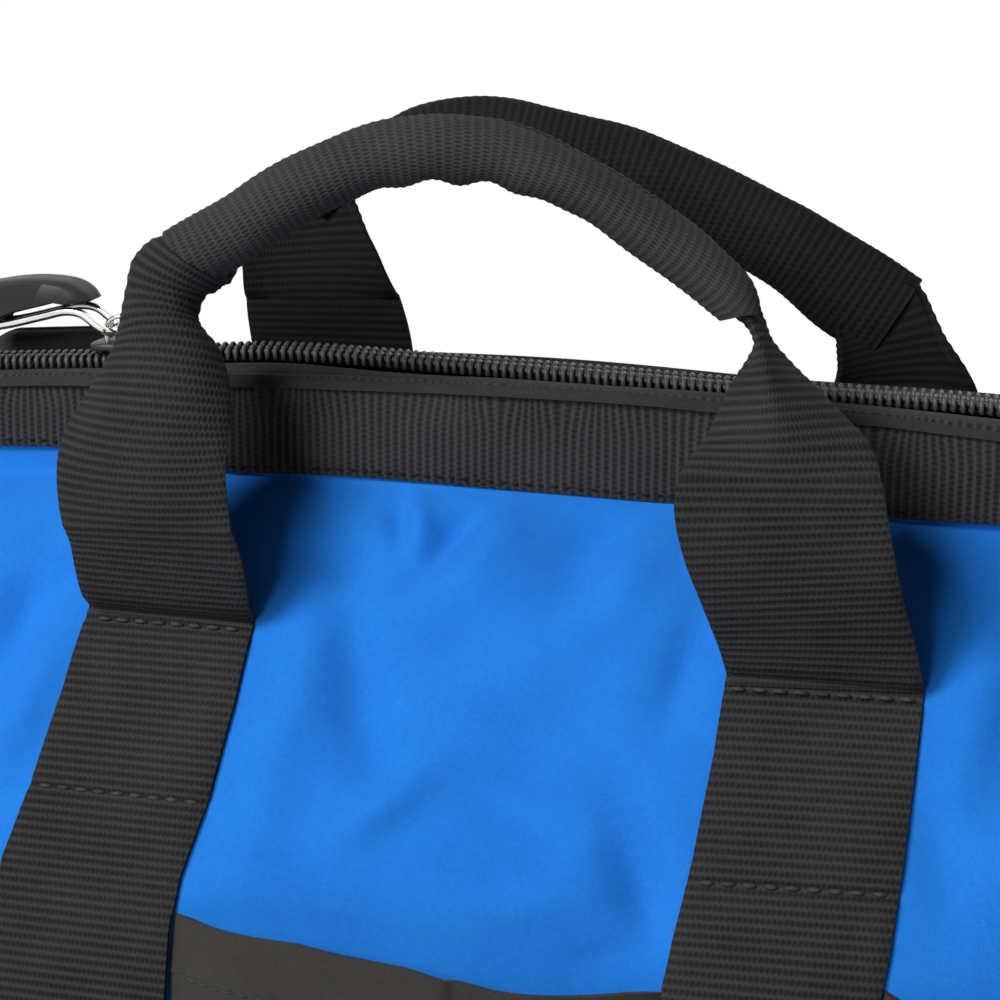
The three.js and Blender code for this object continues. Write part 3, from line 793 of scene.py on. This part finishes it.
def folded_section(half, across, flatness):
    """Across and back places of a strap folded along its middle that shows the given half width."""
    open_share = np.clip(half / STRAP_HALF, 0.02, 1)
    behind = np.sqrt(np.maximum(1 - open_share ** 2, 0)) * flatness
    wide = np.maximum(half / STRAP_HALF, 1)
    return across * open_share * wide, np.sqrt((across * behind) ** 2 + 2.2) - math.sqrt(2.2)


def add_leg(name, side, hand, mirror, stations, section, material):
    """Stations hold a point of the leg's middle line, half width, depth share and turn in degrees."""
    height = stitch_heights(side, mirror)[0]
    start_length = WALL.length_at(height)
    x = mirror * strap_middle(side, mirror, height)
    lift = strap_lift(side, x, height)
    half = strap_half(side, mirror, height)
    tilt = math.degrees(math.atan(row_tilt(side, mirror, height)))
    foot = [
        [*WALL.point(side, x, start_length + step, lift), half, 1, tilt] for step in (-LEG_SINK, 2 - LEG_SINK)
    ]
    line = smooth_line([*foot, *stations], RIB_STEP)
    centre = line[:, :3]
    along = lengths_along(line) - LEG_SINK
    tangent = unit(np.gradient(centre, axis=0))
    lean = 0.3 * tangent[:, :1] * ease(4, 22, along)[:, None]
    level = unit(np.array([1.0, 0, 0]) - tangent * lean)
    out_way = unit(np.cross(tangent, level))
    out_way = out_way * np.sign(out_way[:, 1:2] * side)
    backward = np.array([[0, -side, -EDGE_DROP]]) if section is folded_section else -out_way
    turn = np.radians(line[:, 5])[:, None]
    across_way = level * np.cos(turn) + tangent * np.sin(turn)
    columns = np.linspace(-STRAP_HALF, STRAP_HALF, 31)
    across = np.broadcast_to(columns, (len(line), len(columns)))
    wide, back = section(line[:, 3:4], across, line[:, 4:5])
    grid = centre[:, None] + across_way[:, None] * wide[..., None] + backward[:, None] * back[..., None]
    normals = grid_normals(grid)
    middle = normals[:, len(columns) // 2]
    normals = normals * np.sign(np.sum(middle * out_way, axis=-1))[:, None, None]
    edge = ease(STRAP_HALF - 1.6, STRAP_HALF, np.abs(across))
    length = start_length + along[:, None] + 0 * across
    half_web, relief = webbing_form(length, edge)
    outer = grid + normals * (half_web + relief)[..., None]
    leg = Shape().slab(outer, grid - normals * half_web[..., None], stacked(across, length))
    node = f"{name}_handle_{hand}_leg"
    leg.make(f"{name}_handle_{hand}_strap", [material], "black_webbing", [node], f"{name}_handle")


FRONT_LEFT_LEG = [
    (-75.8, -49.5, 183.5, 20.2, 1, 0), (-75.2, -53, 190, 20.3, 1, 0), (-74.8, -56.5, 198, 20.1, 1, 0),
    (-75.9, -60.5, 207.5, 19.9, 1, 0), (-76, -62.5, 217.5, 19.4, 1, 0), (-75.3, -62.5, 225, 18.4, 1, 0),
    (-74.4, -61, 232, 17, 1, 0), (-74, -58.5, 239, 14.9, 1, 0), (-74.3, -55.5, 245.5, 11.6, 1, 0),
    (-75.7, -53, 250, 8.8, 1, 0), (-75.7, -51, 254, 8.5, 1, -6), (-73.6, -50, 258.8, 10.4, 1, -14),
    (-69.8, -48.9, 262.6, 11.2, 0.9, -18), (-64.9, -47.7, 264.9, 9.8, 0.8, -24),
    (-59.5, -47.5, 267.4, 6, 0.8, -30),
]
FRONT_RIGHT_LEG = [
    (71.4, -49.5, 180.5, 20.6, 1, 3), (70.2, -52.5, 187, 20.7, 1, 4), (67.5, -57, 197.5, 20.9, 1, 5),
    (65, -61, 208, 21.4, 1, 4), (63.2, -63, 217.5, 21.3, 0.8, 3), (62.9, -63.5, 224, 20.3, 0.7, 3),
    (62.7, -63, 230.7, 17.6, 0.65, 3), (61.5, -62, 235.3, 13.9, 0.6, 2), (59.9, -60, 239.9, 10.4, 0.6, 1),
    (58.5, -57.5, 243.9, 7, 0.6, 0), (57.4, -54.5, 247.2, 3.6, 0.55, 0), (56.2, -51.8, 250.6, 1, 0.5, 0),
    (54, -49.8, 254.2, 1.4, 0.45, 0), (50.5, -49, 257.5, 3, 0.4, 0), (45.5, -48.4, 261.5, 4, 0.4, 0),
]
BACK_LEFT_LEG = [
    (-69, 46, 192, 20, 0.6, 0), (-65, 38, 209, 20.3, 0.6, 0), (-63.3, 31, 226, 21.2, 0.6, 0),
    (-64.2, 28.5, 237, 20.5, 0.6, 0), (-65.8, 28, 246.5, 18.5, 0.5, 0), (-67.4, 28.3, 253.5, 16.9, 0.45, 3),
    (-67.8, 28.8, 259, 14.7, 0.4, 10), (-67.2, 29.2, 264, 11.8, 0.4, 15),
    (-64.8, 29.5, 267.8, 7.8, 0.3, 14), (-59.5, 29.8, 270.3, 4.6, 0.3, 14),
]
BACK_RIGHT_LEG = [
    (76.5, 45, 192, 20, 0.6, 0), (79.8, 37, 209, 19.3, 0.6, 0), (79.4, 30, 225.7, 16.7, 0.4, 0),
    (75.6, 28.5, 235.2, 13.3, 0.2, 10), (73, 28.8, 242.4, 12, 0.1, 21), (72.1, 29, 245.5, 10.3, 0.1, 26),
]

# The grips' middle lines from left to right, with the tube's half height and half depth.
FRONT_GRIP = [
    (-70.9, -45, 260, 7, 7.3), (-62, -44.5, 264.8, 7.2, 7.3), (-50.5, -44, 272.4, 7, 7.2),
    (-39, -43.5, 278.6, 6.9, 7.1), (-28, -43, 283.2, 6.8, 7), (-15, -43, 285.4, 7.1, 7),
    (-4.5, -43, 285.5, 7, 7), (6, -43, 283.7, 6.4, 7), (18.5, -43.5, 278.6, 5.8, 6.9),
    (29, -44, 272.3, 6.1, 6.8), (38, -44.5, 266.7, 6.1, 6.6), (45, -45.5, 261.6, 5.8, 6),
    (49.5, -46.5, 258.2, 5.4, 5.4), (52.4, -48, 255.4, 4.2, 4.4), (54.4, -49.3, 253.4, 2.6, 3),
]
BACK_GRIP = [
    (-66.5, 29, 264, 6.4, 5.4), (-58, 29.3, 270.4, 6.4, 5.4), (-47, 29.8, 275.8, 7, 5.3),
    (-37, 30, 279.9, 7.8, 5.3), (-25, 30, 281.3, 8.6, 5.2), (-7, 30, 278.1, 9.4, 5.2),
    (13.5, 30, 273.3, 9.6, 5.2), (34, 30, 264.8, 9.6, 5.2), (53, 29.5, 255.2, 10.3, 4.6),
    (66, 29.2, 246.9, 11.4, 3.2), (76.4, 29, 240.6, 11.2, 2.4),
]
GRIP_SIDES = 48
GRIP_WRAP = 7
GRIP_CUT_REACH = 22
GRIP_WALL = 1.3


def puckers(along, turn, total):
    """Uneven lumps on the underside, where the webbing's edges are drawn together over the core."""
    underside = np.maximum(0, -np.cos(turn)) ** 1.5
    lumps = 0.8 * np.sin(along / 3.6) * np.sin(along / 8.1 + 1)
    lumps = lumps + 0.45 * np.sin(along / 2.1 + 2 * np.sin(turn))
    return underside * bell(along, total * 0.46, 24) * lumps


def add_grip(name, line, slant, cut, material, rib, pucker):
    """A tube of webbing round a foam core, along a curved line, with its ends cut at a slant."""
    line = smooth_line(line, RIB_STEP)
    reach = lengths_along(line)
    total = reach[-1]
    turn = full_turn(GRIP_SIDES)[None, :]
    under = (1 - np.cos(turn)) / 2
    near_left = np.clip(1 - reach / GRIP_CUT_REACH, 0, 1)[:, None]
    near_right = np.clip(1 - (total - reach) / GRIP_CUT_REACH, 0, 1)[:, None]
    along = reach[:, None] + under * (cut[0] * near_left - cut[1] * near_right)
    ray = at_lengths(along, reach, line)
    slope = unit(at_lengths(along, reach, unit(np.gradient(line[:, :3], axis=0))))
    side = np.array([0, 1.0, 0])
    up = unit(np.cross(slope, side))
    up = up * np.sign(up[..., 2:3])
    across = turn * GRIP_WRAP
    length = along + np.sin(turn) * slant
    relief = ribs(length, RIB_PITCH, rib)
    relief = relief + 0.3 * soft_noise(length, across, 30, 4) + pucker * puckers(along, turn, total)

    def loops(extra, inset):
        high = (ray[..., 3] - inset + extra) * np.cos(turn)
        wide = (ray[..., 4] - inset + extra) * np.sin(turn)
        return ray[..., :3] + up * high[..., None] + side * wide[..., None]

    grip = Shape().sleeve(loops(relief, 0), loops(0.3 * relief, GRIP_WALL), stacked(across, length))
    handle = f"{name}_handle"
    grip.make(f"{name}_grip_webbing", [material], "black_webbing", [f"{handle}_grip"], handle)
    core = Shape().loft(loops(0, 2)[30:-40:6, ::3])
    core.make(f"{name}_grip_webbing_foam", [FOAM], "rubber", [f"{handle}_core"], handle)


def add_handles():
    add_leg("front", -1, "left", -1, FRONT_LEFT_LEG, rolled_section, WEB)
    add_leg("front", -1, "right", 1, FRONT_RIGHT_LEG, folded_section, WEB)
    add_leg("back", 1, "left", -1, BACK_LEFT_LEG, rolled_section, SHADED_WEB)
    add_leg("back", 1, "right", 1, BACK_RIGHT_LEG, rolled_section, SHADED_WEB)
    add_grip("front", FRONT_GRIP, 2.4, (7.5, 5), GRIP_WEB, 0.16, 1)
    add_grip("back", BACK_GRIP, 0.6, (0, 0), SHADED_WEB, 0.1, 0.3)


# The mouth: band, tape, coil and hem.

# The front band's lower edge: places along the bag and how far the edge rises there.
BAND_EDGE_PLACES = (-165, -135, -118, -90, -70, -43, -7, 28, 83, 105, 165)
BAND_EDGE_RISES = (5.5, 6.3, 5.9, 2.5, 0.2, 0.5, -0.5, -0.9, 0.7, 2.2, 3)


def band_edge(side, x):
    return BAND_EDGE + (np.interp(x, BAND_EDGE_PLACES, BAND_EDGE_RISES) if side < 0 else 0.6 * np.sin(x / 31))


def zip_lift(x):
    """How far the zip wanders above its arch."""
    rise = 1.8 * bell(x, -66, 30) * ease(-98, -80, x)
    sink = 0.5 * bell(x, 5, 25) + 1.4 * bell(x, 46, 32)
    return rise - sink - 0.4 * ease(-92, -112, x)


def mouth_rise(side, x):
    """How far the back band and tape stand up beside the slider, and sag beside the right handle."""
    if side < 0:
        return 0
    return 5.6 * ease(-85, -101, x) * ease(-156, -141, x) - 1.3 * bell(x, 52, 34)


def add_band(name, side):
    count = int(round(2 * HALF_LENGTH / (BAND_RIB_PITCH / RIB_ROWS)))
    columns = np.linspace(-HALF_LENGTH, HALF_LENGTH, count)
    share = np.concatenate([[0, 0.02, 0.05], np.linspace(0.1, 0.95, 14), [0.98, 1]])
    share, x = np.meshgrid(share, columns)
    low = band_edge(side, x)
    height = low + (BAND_TOP + mouth_rise(side, x) - low) * share
    depth = HALF_NECK + 1.3 + 0.5 * soft_noise(x, height * 0.4, 90, 6 + side) + 0.9 * (1 - share)
    edge = ease(0.06, 0, share) + ease(0.96, 1, share)
    shift = 1.1 * np.sin(x / 3.7 + 2 * np.sin(x / 11)) * ease(0.5, 0.95, share)
    relief = ribs(x + shift, BAND_RIB_PITCH, 0.3) * (1 - edge) * (1 - 0.7 * ease(0.72, 0.86, share))
    relief = relief - 0.35 * bell(share, 0.07, 0.03)
    outer = placed(side, x, depth + WEBBING / 2 + relief - 0.4 * edge, height)
    band = Shape().slab(outer, placed(side, x, depth - WEBBING / 2, height), stacked(height, x + shift))
    line_x = np.linspace(-HALF_LENGTH + 2, HALF_LENGTH - 2, 400)
    line = placed(side, line_x, HALF_NECK + 3, band_edge(side, line_x) + 1.6)
    stitch_row(band, line, np.broadcast_to([0, side, 0], line.shape), 1.6, 1.4, 0.28, sink=0.12)
    node = f"{name}_band"
    band.make(f"{node}_webbing", [BAND_WEB, SHADED_WEB], "black_webbing", [node], f"{name}_mouth")


TAPE_PATH = [
    (4.3, -1.6), (5.2, -0.9), (7.5, 0.1), (11, 0.3), (14.5, 0.35), (16.6, 0.15), (17.4, -0.6), (17.6, -1.6),
]


def flat_path(path, step):
    """A smooth line through (depth, rise) points."""
    return smooth_line([(depth, 0, rise) for depth, rise in path], step)


def add_tape(name, side):
    """The zip's tape lies level beside the coil and turns down over the band's upper edge."""
    path = flat_path(TAPE_PATH, 0.7)
    share, x = np.meshgrid(np.arange(len(path)), np.linspace(-HALF_LENGTH, HALF_LENGTH, 300))
    depth = path[share, 0]
    rise = path[share, 2] + 0.25 * soft_noise(x, depth * 3, 50, 9 + side)
    lift = zip_lift(x)
    rise = rise + np.maximum(lift, 0) * ease(16, 5, depth)
    rise = rise + np.minimum(lift, 0) * ease(8.4, 5, depth)
    rise = rise + mouth_rise(side, x) * ease(7.6, 13, depth)
    grid = placed(side, x, depth, HEM_TOP + rise - 0.3 * bell(depth, 13.2, 0.7))
    facing = outward(grid, (0, side * 0.3, 1)) * 0.4
    tape = Shape().slab(grid + facing, grid - facing, stacked(lengths_along(path)[share], x))
    tape.make(f"{name}_tape_cloth", [TAPE], "black_webbing", [f"{name}_zip_tape"], f"{name}_mouth")


COIL_PITCH = 2
COIL_HALF = HALF_LENGTH - 13
TOOTH_PATH = [(3.9, 0.5), (4.05, 1.9), (3.6, 2.9), (2.2, 3.1), (1.1, 2.8), (0.7, 1.9), (1.1, 0.9), (2.4, 0.5)]


def add_coil(name, side):
    """Half of the zip: one turn of nylon for each tooth, sewn on a cord along the tape."""
    coil = Shape()
    path = flat_path(TOOTH_PATH, 0.8)
    lean = np.linspace(-0.35, 0.35, len(path)) * side
    for i in range(int(2 * COIL_HALF / COIL_PITCH)):
        x = -COIL_HALF + (i + 0.5) * COIL_PITCH + COIL_PITCH / 4 * side
        tube(coil, placed(side, x + lean, path[:, 0], COIL_LOW + path[:, 2] + zip_lift(x)), 0.6, 7)
    line_x = np.linspace(-COIL_HALF, COIL_HALF, 160)
    tube(coil, placed(side, line_x, 2.3, COIL_LOW + 1.9 + zip_lift(line_x)), 0.75, 8)
    coil.make(f"{name}_coil_teeth", [COIL], "zip_coil", [f"{name}_zip_coil"], f"{name}_mouth")


HEM_LOOP = [
    (12.35, 227.8), (12.35, 218), (12.3, 209.5), (11.6, 208.2), (9.6, 208.2), (8.8, 209.5),
    (8.6, 218), (8.8, 226), (9.4, 227.8), (11, 228.2),
]


def add_hem(name, side):
    """The sleeve behind the band, which holds the steel stay."""
    x = np.linspace(-HALF_LENGTH + 0.5, HALF_LENGTH - 0.5, 160)[:, None]
    depth, height = np.array(HEM_LOOP).T
    puff = 0.35 * soft_noise(x, height, 40, 12 + side) * (depth < 10)
    hem = Shape().loft(placed(side, x, depth - puff, height), stacked(x, height - depth))
    hem.make(f"{name}_hem_sleeve", [LINING], "pocket_fabric", body=f"{name}_mouth", sharp=70)
    keep_cad(f"{name}_mouth_stay", STEEL)


def add_zip_end(name):
    """A folded patch of webbing over the end of the zip."""
    low, high = box_mm(f"{name}_zip_end")
    half = (high - low) / 2
    middle = (high + low) / 2
    length = np.linspace(-1, 1, 46)[:, None]
    turn = full_turn(40)[None, :]
    tall = signed_power(np.sin(turn), 0.6)
    taper = 1 - 0.1 * np.abs(length) ** 6
    x = middle[0] + length * half[0]
    y = middle[1] + signed_power(np.cos(turn), 0.35) * half[1] * taper
    z = middle[2] + 0.4 + tall * 1.5 * taper + 0.18 * np.cos(2 * np.pi * x / RIB_PITCH) * (tall > 0)
    patch = Shape().loft(stacked(x, y, z), stacked(y, x))
    across = np.linspace(-0.8, 0.8, 30)
    for place in (-0.72, 0.72):
        line = middle + stacked(place, across, 0) * half + (0, 0, 1.95)
        stitch_row(patch, line, np.broadcast_to([0, 0, 1], line.shape), 2, 1, 0.35)
    patch.make(f"{name}_zip_patch", [WEB, THREAD], "black_webbing", [f"{name}_zip_end"], "front_mouth")


# Pockets.

# The mouth of the front's middle pocket: places along the bag and how far it is below the pocket's top.
MOUTH_PLACES = (-66, -48, -32, -7, 3, 12, 39, 46)
MOUTH_DROPS = (5.9, 4.6, 3.4, 5, 6.5, 7.5, 8.6, 9.6)
FRONT_PLEAT = 2
POCKET_GAP = 0.5
POCKET_END_MARGIN = 5
POCKET_CLOTH = 1.1
HEM_RISE = 0.5
HEM_ROWS = 16

# Where a pocket's rows start: its foot turns in to the wall.
FOOT_ROWS = np.array([0, 0.004, 0.011, 0.02, 0.032, 0.046, 0.062, 0.08])


def pocket_rows(count, hem):
    """Shares of a pocket's height, and how far each row has turned out of the foot and into the hem."""
    rise = np.concatenate([FOOT_ROWS, np.linspace(0.09, hem - 0.01, count), np.linspace(hem, 1, HEM_ROWS)])
    rise = rise[:, None]
    foot = np.clip(rise / FOOT_ROWS[-1], 0, 1)
    return rise, np.sqrt(foot * (2 - foot)), HEM_RISE * ease(hem - 0.015, hem - 0.005, rise)


def make_pocket(name, node, grid, towards, raised_by, thickness, weave):
    """A pocket's cloth from its grid of points, with a stitched row along the hem."""
    facing = outward(grid, towards)
    outer = grid + facing * raised_by[..., None]
    cloth = Shape().slab(outer, grid - facing * thickness[..., None], weave)
    sewn = len(grid) - HEM_ROWS + 2
    stitch_row(cloth, outer[sewn], facing[sewn], 2.4, 1.2, 0.3, sink=0.05)
    cloth.make(name, [POCKET, THREAD], "pocket_fabric", [node], "root")


def add_wall_pocket(node, side, left, right, top, pleat=None):
    """A flat pocket on the wall: sewn at its sides and foot, with a hemmed mouth that hangs away from it."""
    rise, closed, hem_step = pocket_rows(38, 0.87)
    share = np.linspace(0, 1, 90)[None, :]
    sag = 4.5 * np.sin(np.pi * share) ** 0.8
    if pleat is not None:
        sag = np.interp(left(top) + (right(top) - left(top)) * share, MOUTH_PLACES, MOUTH_DROPS)
    height = POCKET_BOTTOM + (top - sag * rise ** 2 - POCKET_BOTTOM) * rise
    x = left(height) + (right(height) - left(height)) * share
    hold = 1 - np.abs(2 * share - 1) ** 3.2
    reach = 1.2 + closed * hold * (5 + 9.5 * rise ** 1.3)
    reach = reach + 0.8 * soft_noise(x, height, 52, 11) * hold * (0.4 + 0.6 * rise)
    if pleat is not None:
        reach = reach - 1.6 * (ease(pleat - 1.2, pleat + 1.2, x) - ease(pleat, pleat + 22, x))
    outer = hem_step - 0.3 * bell(rise, 0.875, 0.006)
    grid = stacked(x, side * (WALL.depth_at(height) + reach), height)
    thickness = POCKET_CLOTH + 2 * hem_step
    make_pocket(f"{node}_cloth", node, grid, (0, side, 0), outer, thickness, stacked(x, height))


def add_end_pocket(name, end):
    """A pouch on the bag's end with rounded sides and a hemmed mouth."""
    rise, closed, hem_step = pocket_rows(34, 0.85)
    share = np.linspace(-1, 1, 70)[None, :]
    height = POCKET_BOTTOM + (END_POCKET_TOP - POCKET_BOTTOM - 3 * (1 - share ** 2)) * rise
    y = END_POCKET_HALF * share
    hold = (1 - np.abs(share) ** 5) * (0.55 + 0.45 * np.sin(np.pi * np.clip(0.12 + 0.7 * rise, 0, 1)))
    reach = 1.2 + closed * hold * (12.4 + 0.5 * soft_noise(y, height, 40, 15))
    grid = stacked(end * (HALF_LENGTH + reach), y, height)
    node = f"{name}_end_pocket"
    thickness = POCKET_CLOTH + hem_step
    make_pocket(f"{name}_end_pouch", node, grid, (end, 0, 0), hem_step, thickness, stacked(y, height))


def strap_edge(side, mirror, way):
    """A strap's inner (way -1) or outer (way 1) edge with a narrow gap, as a function of the height."""
    def edge(height):
        half = strap_half(side, mirror, height)
        return mirror * (strap_middle(side, mirror, height) + way * half + way * POCKET_GAP)
    return edge


def add_pockets():
    end = HALF_LENGTH - POCKET_END_MARGIN
    for name, side in SIDES:
        left, middle_left = strap_edge(side, -1, 1), strap_edge(side, -1, -1)
        middle_right, right = strap_edge(side, 1, -1), strap_edge(side, 1, 1)
        pleat = FRONT_PLEAT if side < 0 else None
        add_wall_pocket(f"{name}_center_pocket", side, middle_left, middle_right, POCKET_TOP, pleat)
        add_wall_pocket(f"{name}_left_pocket", side, lambda height: -end, left, SIDE_POCKET_TOP)
        add_wall_pocket(f"{name}_right_pocket", side, right, lambda height: end, SIDE_POCKET_TOP)
    for name, end in HANDS:
        add_end_pocket(name, end)


# Slider and pull.

SLIDER_REST = -105
SLIDER_TURN = math.asin(SLIDER_REST / ARCH_RADIUS)
PLATE = 1.7
PLATE_HIGH = COIL_TOP + 0.6
PLATE_LOW = COIL_LOW - 0.6
PIVOT_X = -2.4
PIVOT_Z = 237.25
SHADED_PLATE_SLOT = 1


def on_slider(points):
    """Turns points that are worked out at the top of the arch to the slider's place on it."""
    points = np.asarray(points, float)
    rise = points[..., 2] - ARCH_CENTRE
    x = points[..., 0] * math.cos(SLIDER_TURN) + rise * math.sin(SLIDER_TURN)
    z = -points[..., 0] * math.sin(SLIDER_TURN) + rise * math.cos(SLIDER_TURN) + ARCH_CENTRE
    return stacked(x, points[..., 1], z)


def plate(shape, outline, low, high, bevel=0.35):
    """A plate with rounded edges, from an outline seen from above, in the near-black finish that paints the
    slider body's shade.
    """
    centre = outline.mean(axis=0)
    size = np.linalg.norm(outline - centre, axis=1, keepdims=True)
    steps = [(0, 1), (bevel * 0.4, 0.3), (bevel, 0)]
    levels = [(low + rise, bevel * inset) for rise, inset in steps]
    levels += [(high - rise, bevel * inset) for rise, inset in steps[::-1]]
    loops = []
    for height, inset in levels:
        loops.append(stacked(*(centre + (outline - centre) * (1 - inset / size)).T, height))
    shape.loft(on_slider(loops), slot=SHADED_PLATE_SLOT)


# The plates take the near-black finish, which paints shade; the bridge is nickel.
def add_slider():
    slider = Shape()
    turn = full_turn(48)
    width = (5.9 - 0.7 * np.cos(turn)) * signed_power(np.sin(turn), 0.6)
    outline = stacked(8.2 * signed_power(np.cos(turn), 0.75), width)
    plate(slider, outline, PLATE_HIGH, PLATE_HIGH + PLATE)
    plate(slider, outline * (1, 0.56), PLATE_LOW - PLATE, PLATE_LOW)
    web = np.array([(-5, -0.18), (-5, 0.18), (-1, 0.18), (4.5, 0.18), (4.5, -0.18), (-1, -0.18)])
    plate(slider, web, PLATE_LOW - 0.1, PLATE_HIGH + 0.1, 0.05)
    foot = PLATE_HIGH + 1.3
    bridge = [(-4.4, 0), (-4.5, 2.6), (-3.8, 5), (-1.6, 6.3), (1.6, 6), (4, 3.6), (4.6, 1.4), (4.7, 0)]
    line = flat_path([(x, foot + rise) for x, rise in bridge], 0.5)
    tangent = unit(np.gradient(line, axis=0))
    up = stacked(-tangent[:, 2], 0, tangent[:, 0])
    spin = full_turn(16)[None, :, None]
    loops = line[:, None] + up[:, None] * (0.62 * np.sin(spin))
    slider.loft(on_slider(loops + np.array([0, 1.7, 0]) * signed_power(np.cos(spin), 0.6)))
    slider.make("slider_body", [NICKEL, SHADED_PLATE_FINISH], "nickel", ["zip_slider"], "slider", sharp=50)


# Half of the wire link from the slider's bridge to its far end, measured from the pivot.
LINK_PATH = [
    (0, 0, 0), (-0.1, -2.2, 0.1), (-0.8, -3.9, 0.6), (-3, -4.4, 2.2), (-6.5, -4.4, 4.9),
    (-10.5, -4.4, 5.6), (-17, -4.4, 4.4), (-26, -4.4, 2.6), (-33.5, -3.6, 1.6), (-35, -1.5, 1.4),
    (-35.2, 0, 1.4),
]
LINK_RADIUS = 1.05


def add_link():
    near = np.array(LINK_PATH) + (PIVOT_X, 0, PIVOT_Z)
    far = near[-2:0:-1] * (1, -1, 1)
    points = on_slider(smooth_line([*near, *far, near[0]], 0.8)[:-1])
    tangent = unit(np.roll(points, -1, axis=0) - np.roll(points, 1, axis=0))
    side = unit(np.cross(tangent, [0, 0.2, 1]))
    up = np.cross(side, tangent)
    spin = full_turn(12)[None, :, None]
    ways = np.cos(spin) * side[:, None] + np.sin(spin) * up[:, None]
    wire = Shape().ring(points[:, None] + LINK_RADIUS * ways)
    wire.make("pull_link", [NICKEL], "nickel", ["pull_wire"], "pull")


# The moulded tab over the link's far end, seen from the front and measured from the pivot.
TAB_PROFILE = [
    (-4.3, 8), (-5.5, 10), (-8.3, 12), (-12.3, 13.1), (-20.3, 13.7), (-29.8, 12.9), (-35.8, 11.6),
    (-37.8, 8.8), (-37.5, 2), (-36, 0), (-33.4, 0), (-31.4, 2.4), (-25.8, 4.8), (-17.8, 6.6),
    (-11.3, 7.8), (-6.3, 7.2),
]
TAB_HALF = 6


def add_tab():
    ring = flat_path([(PIVOT_X + x, PIVOT_Z + z) for x, z in [*TAB_PROFILE, TAB_PROFILE[0]]], 1)[:-1]
    ring = ring[:len(ring) // 2 * 2]
    centre = ring.mean(axis=0)
    across = np.linspace(-1, 1, 15)[:, None, None]
    loops = centre + (ring - centre) * (1 - np.abs(across) ** 5 * 0.22) + across * (0, TAB_HALF, 0)
    tab = Shape().loft(on_slider(loops))
    tab.make("pull_tab_moulding", [RUBBER], "rubber", ["pull_tab"], "pull", sharp=50)


# Stage: a pale floor that turns white away from the bag, plain soft light and a white surround.

FLOOR_HALF = 6
FLOOR_FADE_START = 0.32
FLOOR_FADE_END = 0.6
SURROUND_LIGHT = 0.055


def seen_directly(tree):
    """1 for what the camera sees, also in a reflection or through glass."""
    path = add_node(tree, "LightPath")
    total = calc(tree, "MAXIMUM", path.outputs["Is Camera Ray"], path.outputs["Is Glossy Ray"])
    return calc(tree, "MAXIMUM", total, path.outputs["Is Transmission Ray"])


def add_floor():
    mesh = bpy.data.meshes.new("floor")
    corners = [(-FLOOR_HALF, -FLOOR_HALF, 0), (FLOOR_HALF, -FLOOR_HALF, 0)]
    corners += [(-x, -y, 0) for x, y, _ in corners]
    mesh.from_pydata(corners, [], [(0, 1, 2, 3)])
    floor = add_object("floor", mesh)
    material, tree, shader = new_finish("floor", Roughness=0.9, Specular_IOR_Level=0.1)
    shader.inputs["Base Color"].default_value = (0.78, 0.78, 0.78, 1)
    white = add_node(tree, "Emission")
    place = add_node(tree, "TexCoord").outputs["Object"]
    distance = add_node(tree, "VectorMath", {0: place}, operation="LENGTH").outputs["Value"]
    inputs = {"Value": distance, "From Min": FLOOR_FADE_START, "From Max": FLOOR_FADE_END}
    fade = add_node(tree, "MapRange", inputs, interpolation_type="SMOOTHSTEP").outputs[0]
    share = calc(tree, "MULTIPLY", fade, seen_directly(tree))
    mixed = add_node(tree, "MixShader", {0: share, 1: shader.outputs[0], 2: white.outputs[0]})
    tree.links.new(mixed.outputs[0], tree.nodes["Material Output"].inputs["Surface"])
    mesh.materials.append(material)


def add_world():
    world = bpy.data.worlds.new("surround")
    world.use_nodes = True
    tree = world.node_tree
    inputs = {"Value": seen_directly(tree), "To Min": SURROUND_LIGHT, "To Max": 1}
    strength = add_node(tree, "MapRange", inputs)
    background = tree.nodes["Background"]
    background.inputs["Color"].default_value = (1, 1, 1, 1)
    tree.links.new(strength.outputs[0], background.inputs["Strength"])
    bpy.context.scene.world = world


def add_lamp(name, azimuth, elevation, distance, size, power):
    """A round area lamp that looks at the bag from a distance in millimetres. Its size is in metres."""
    data = bpy.data.lights.new(name, "AREA")
    data.shape = "DISK"
    data.size = size
    data.energy = power
    add_looking(name, data, LAMP_TARGET, azimuth, elevation, distance)


def add_stage():
    add_floor()
    add_world()
    add_lamp("key", -31, 42, 1200, 0.42, 14.5)
    add_lamp("front", -10, 24, 1200, 0.24, 4)
    add_lamp("behind", 165, 45, 1500, 0.9, 3)


def main():
    add_camera()
    add_base()
    add_body()
    for name, side in SIDES:
        for add_piece in (add_flap, add_band, add_tape, add_coil, add_hem):
            add_piece(name, side)
        for hand, mirror in HANDS:
            add_strap(name, side, hand, mirror)
    for hand, end in HANDS:
        for name, side in SIDES:
            add_pleat(hand, end, name, side)
    add_zip_end("left")
    add_zip_end("right")
    add_pockets()
    add_handles()
    add_slider()
    add_link()
    add_tab()
    add_stage()
    bpy.context.scene.view_settings.view_transform = "Standard"


main()
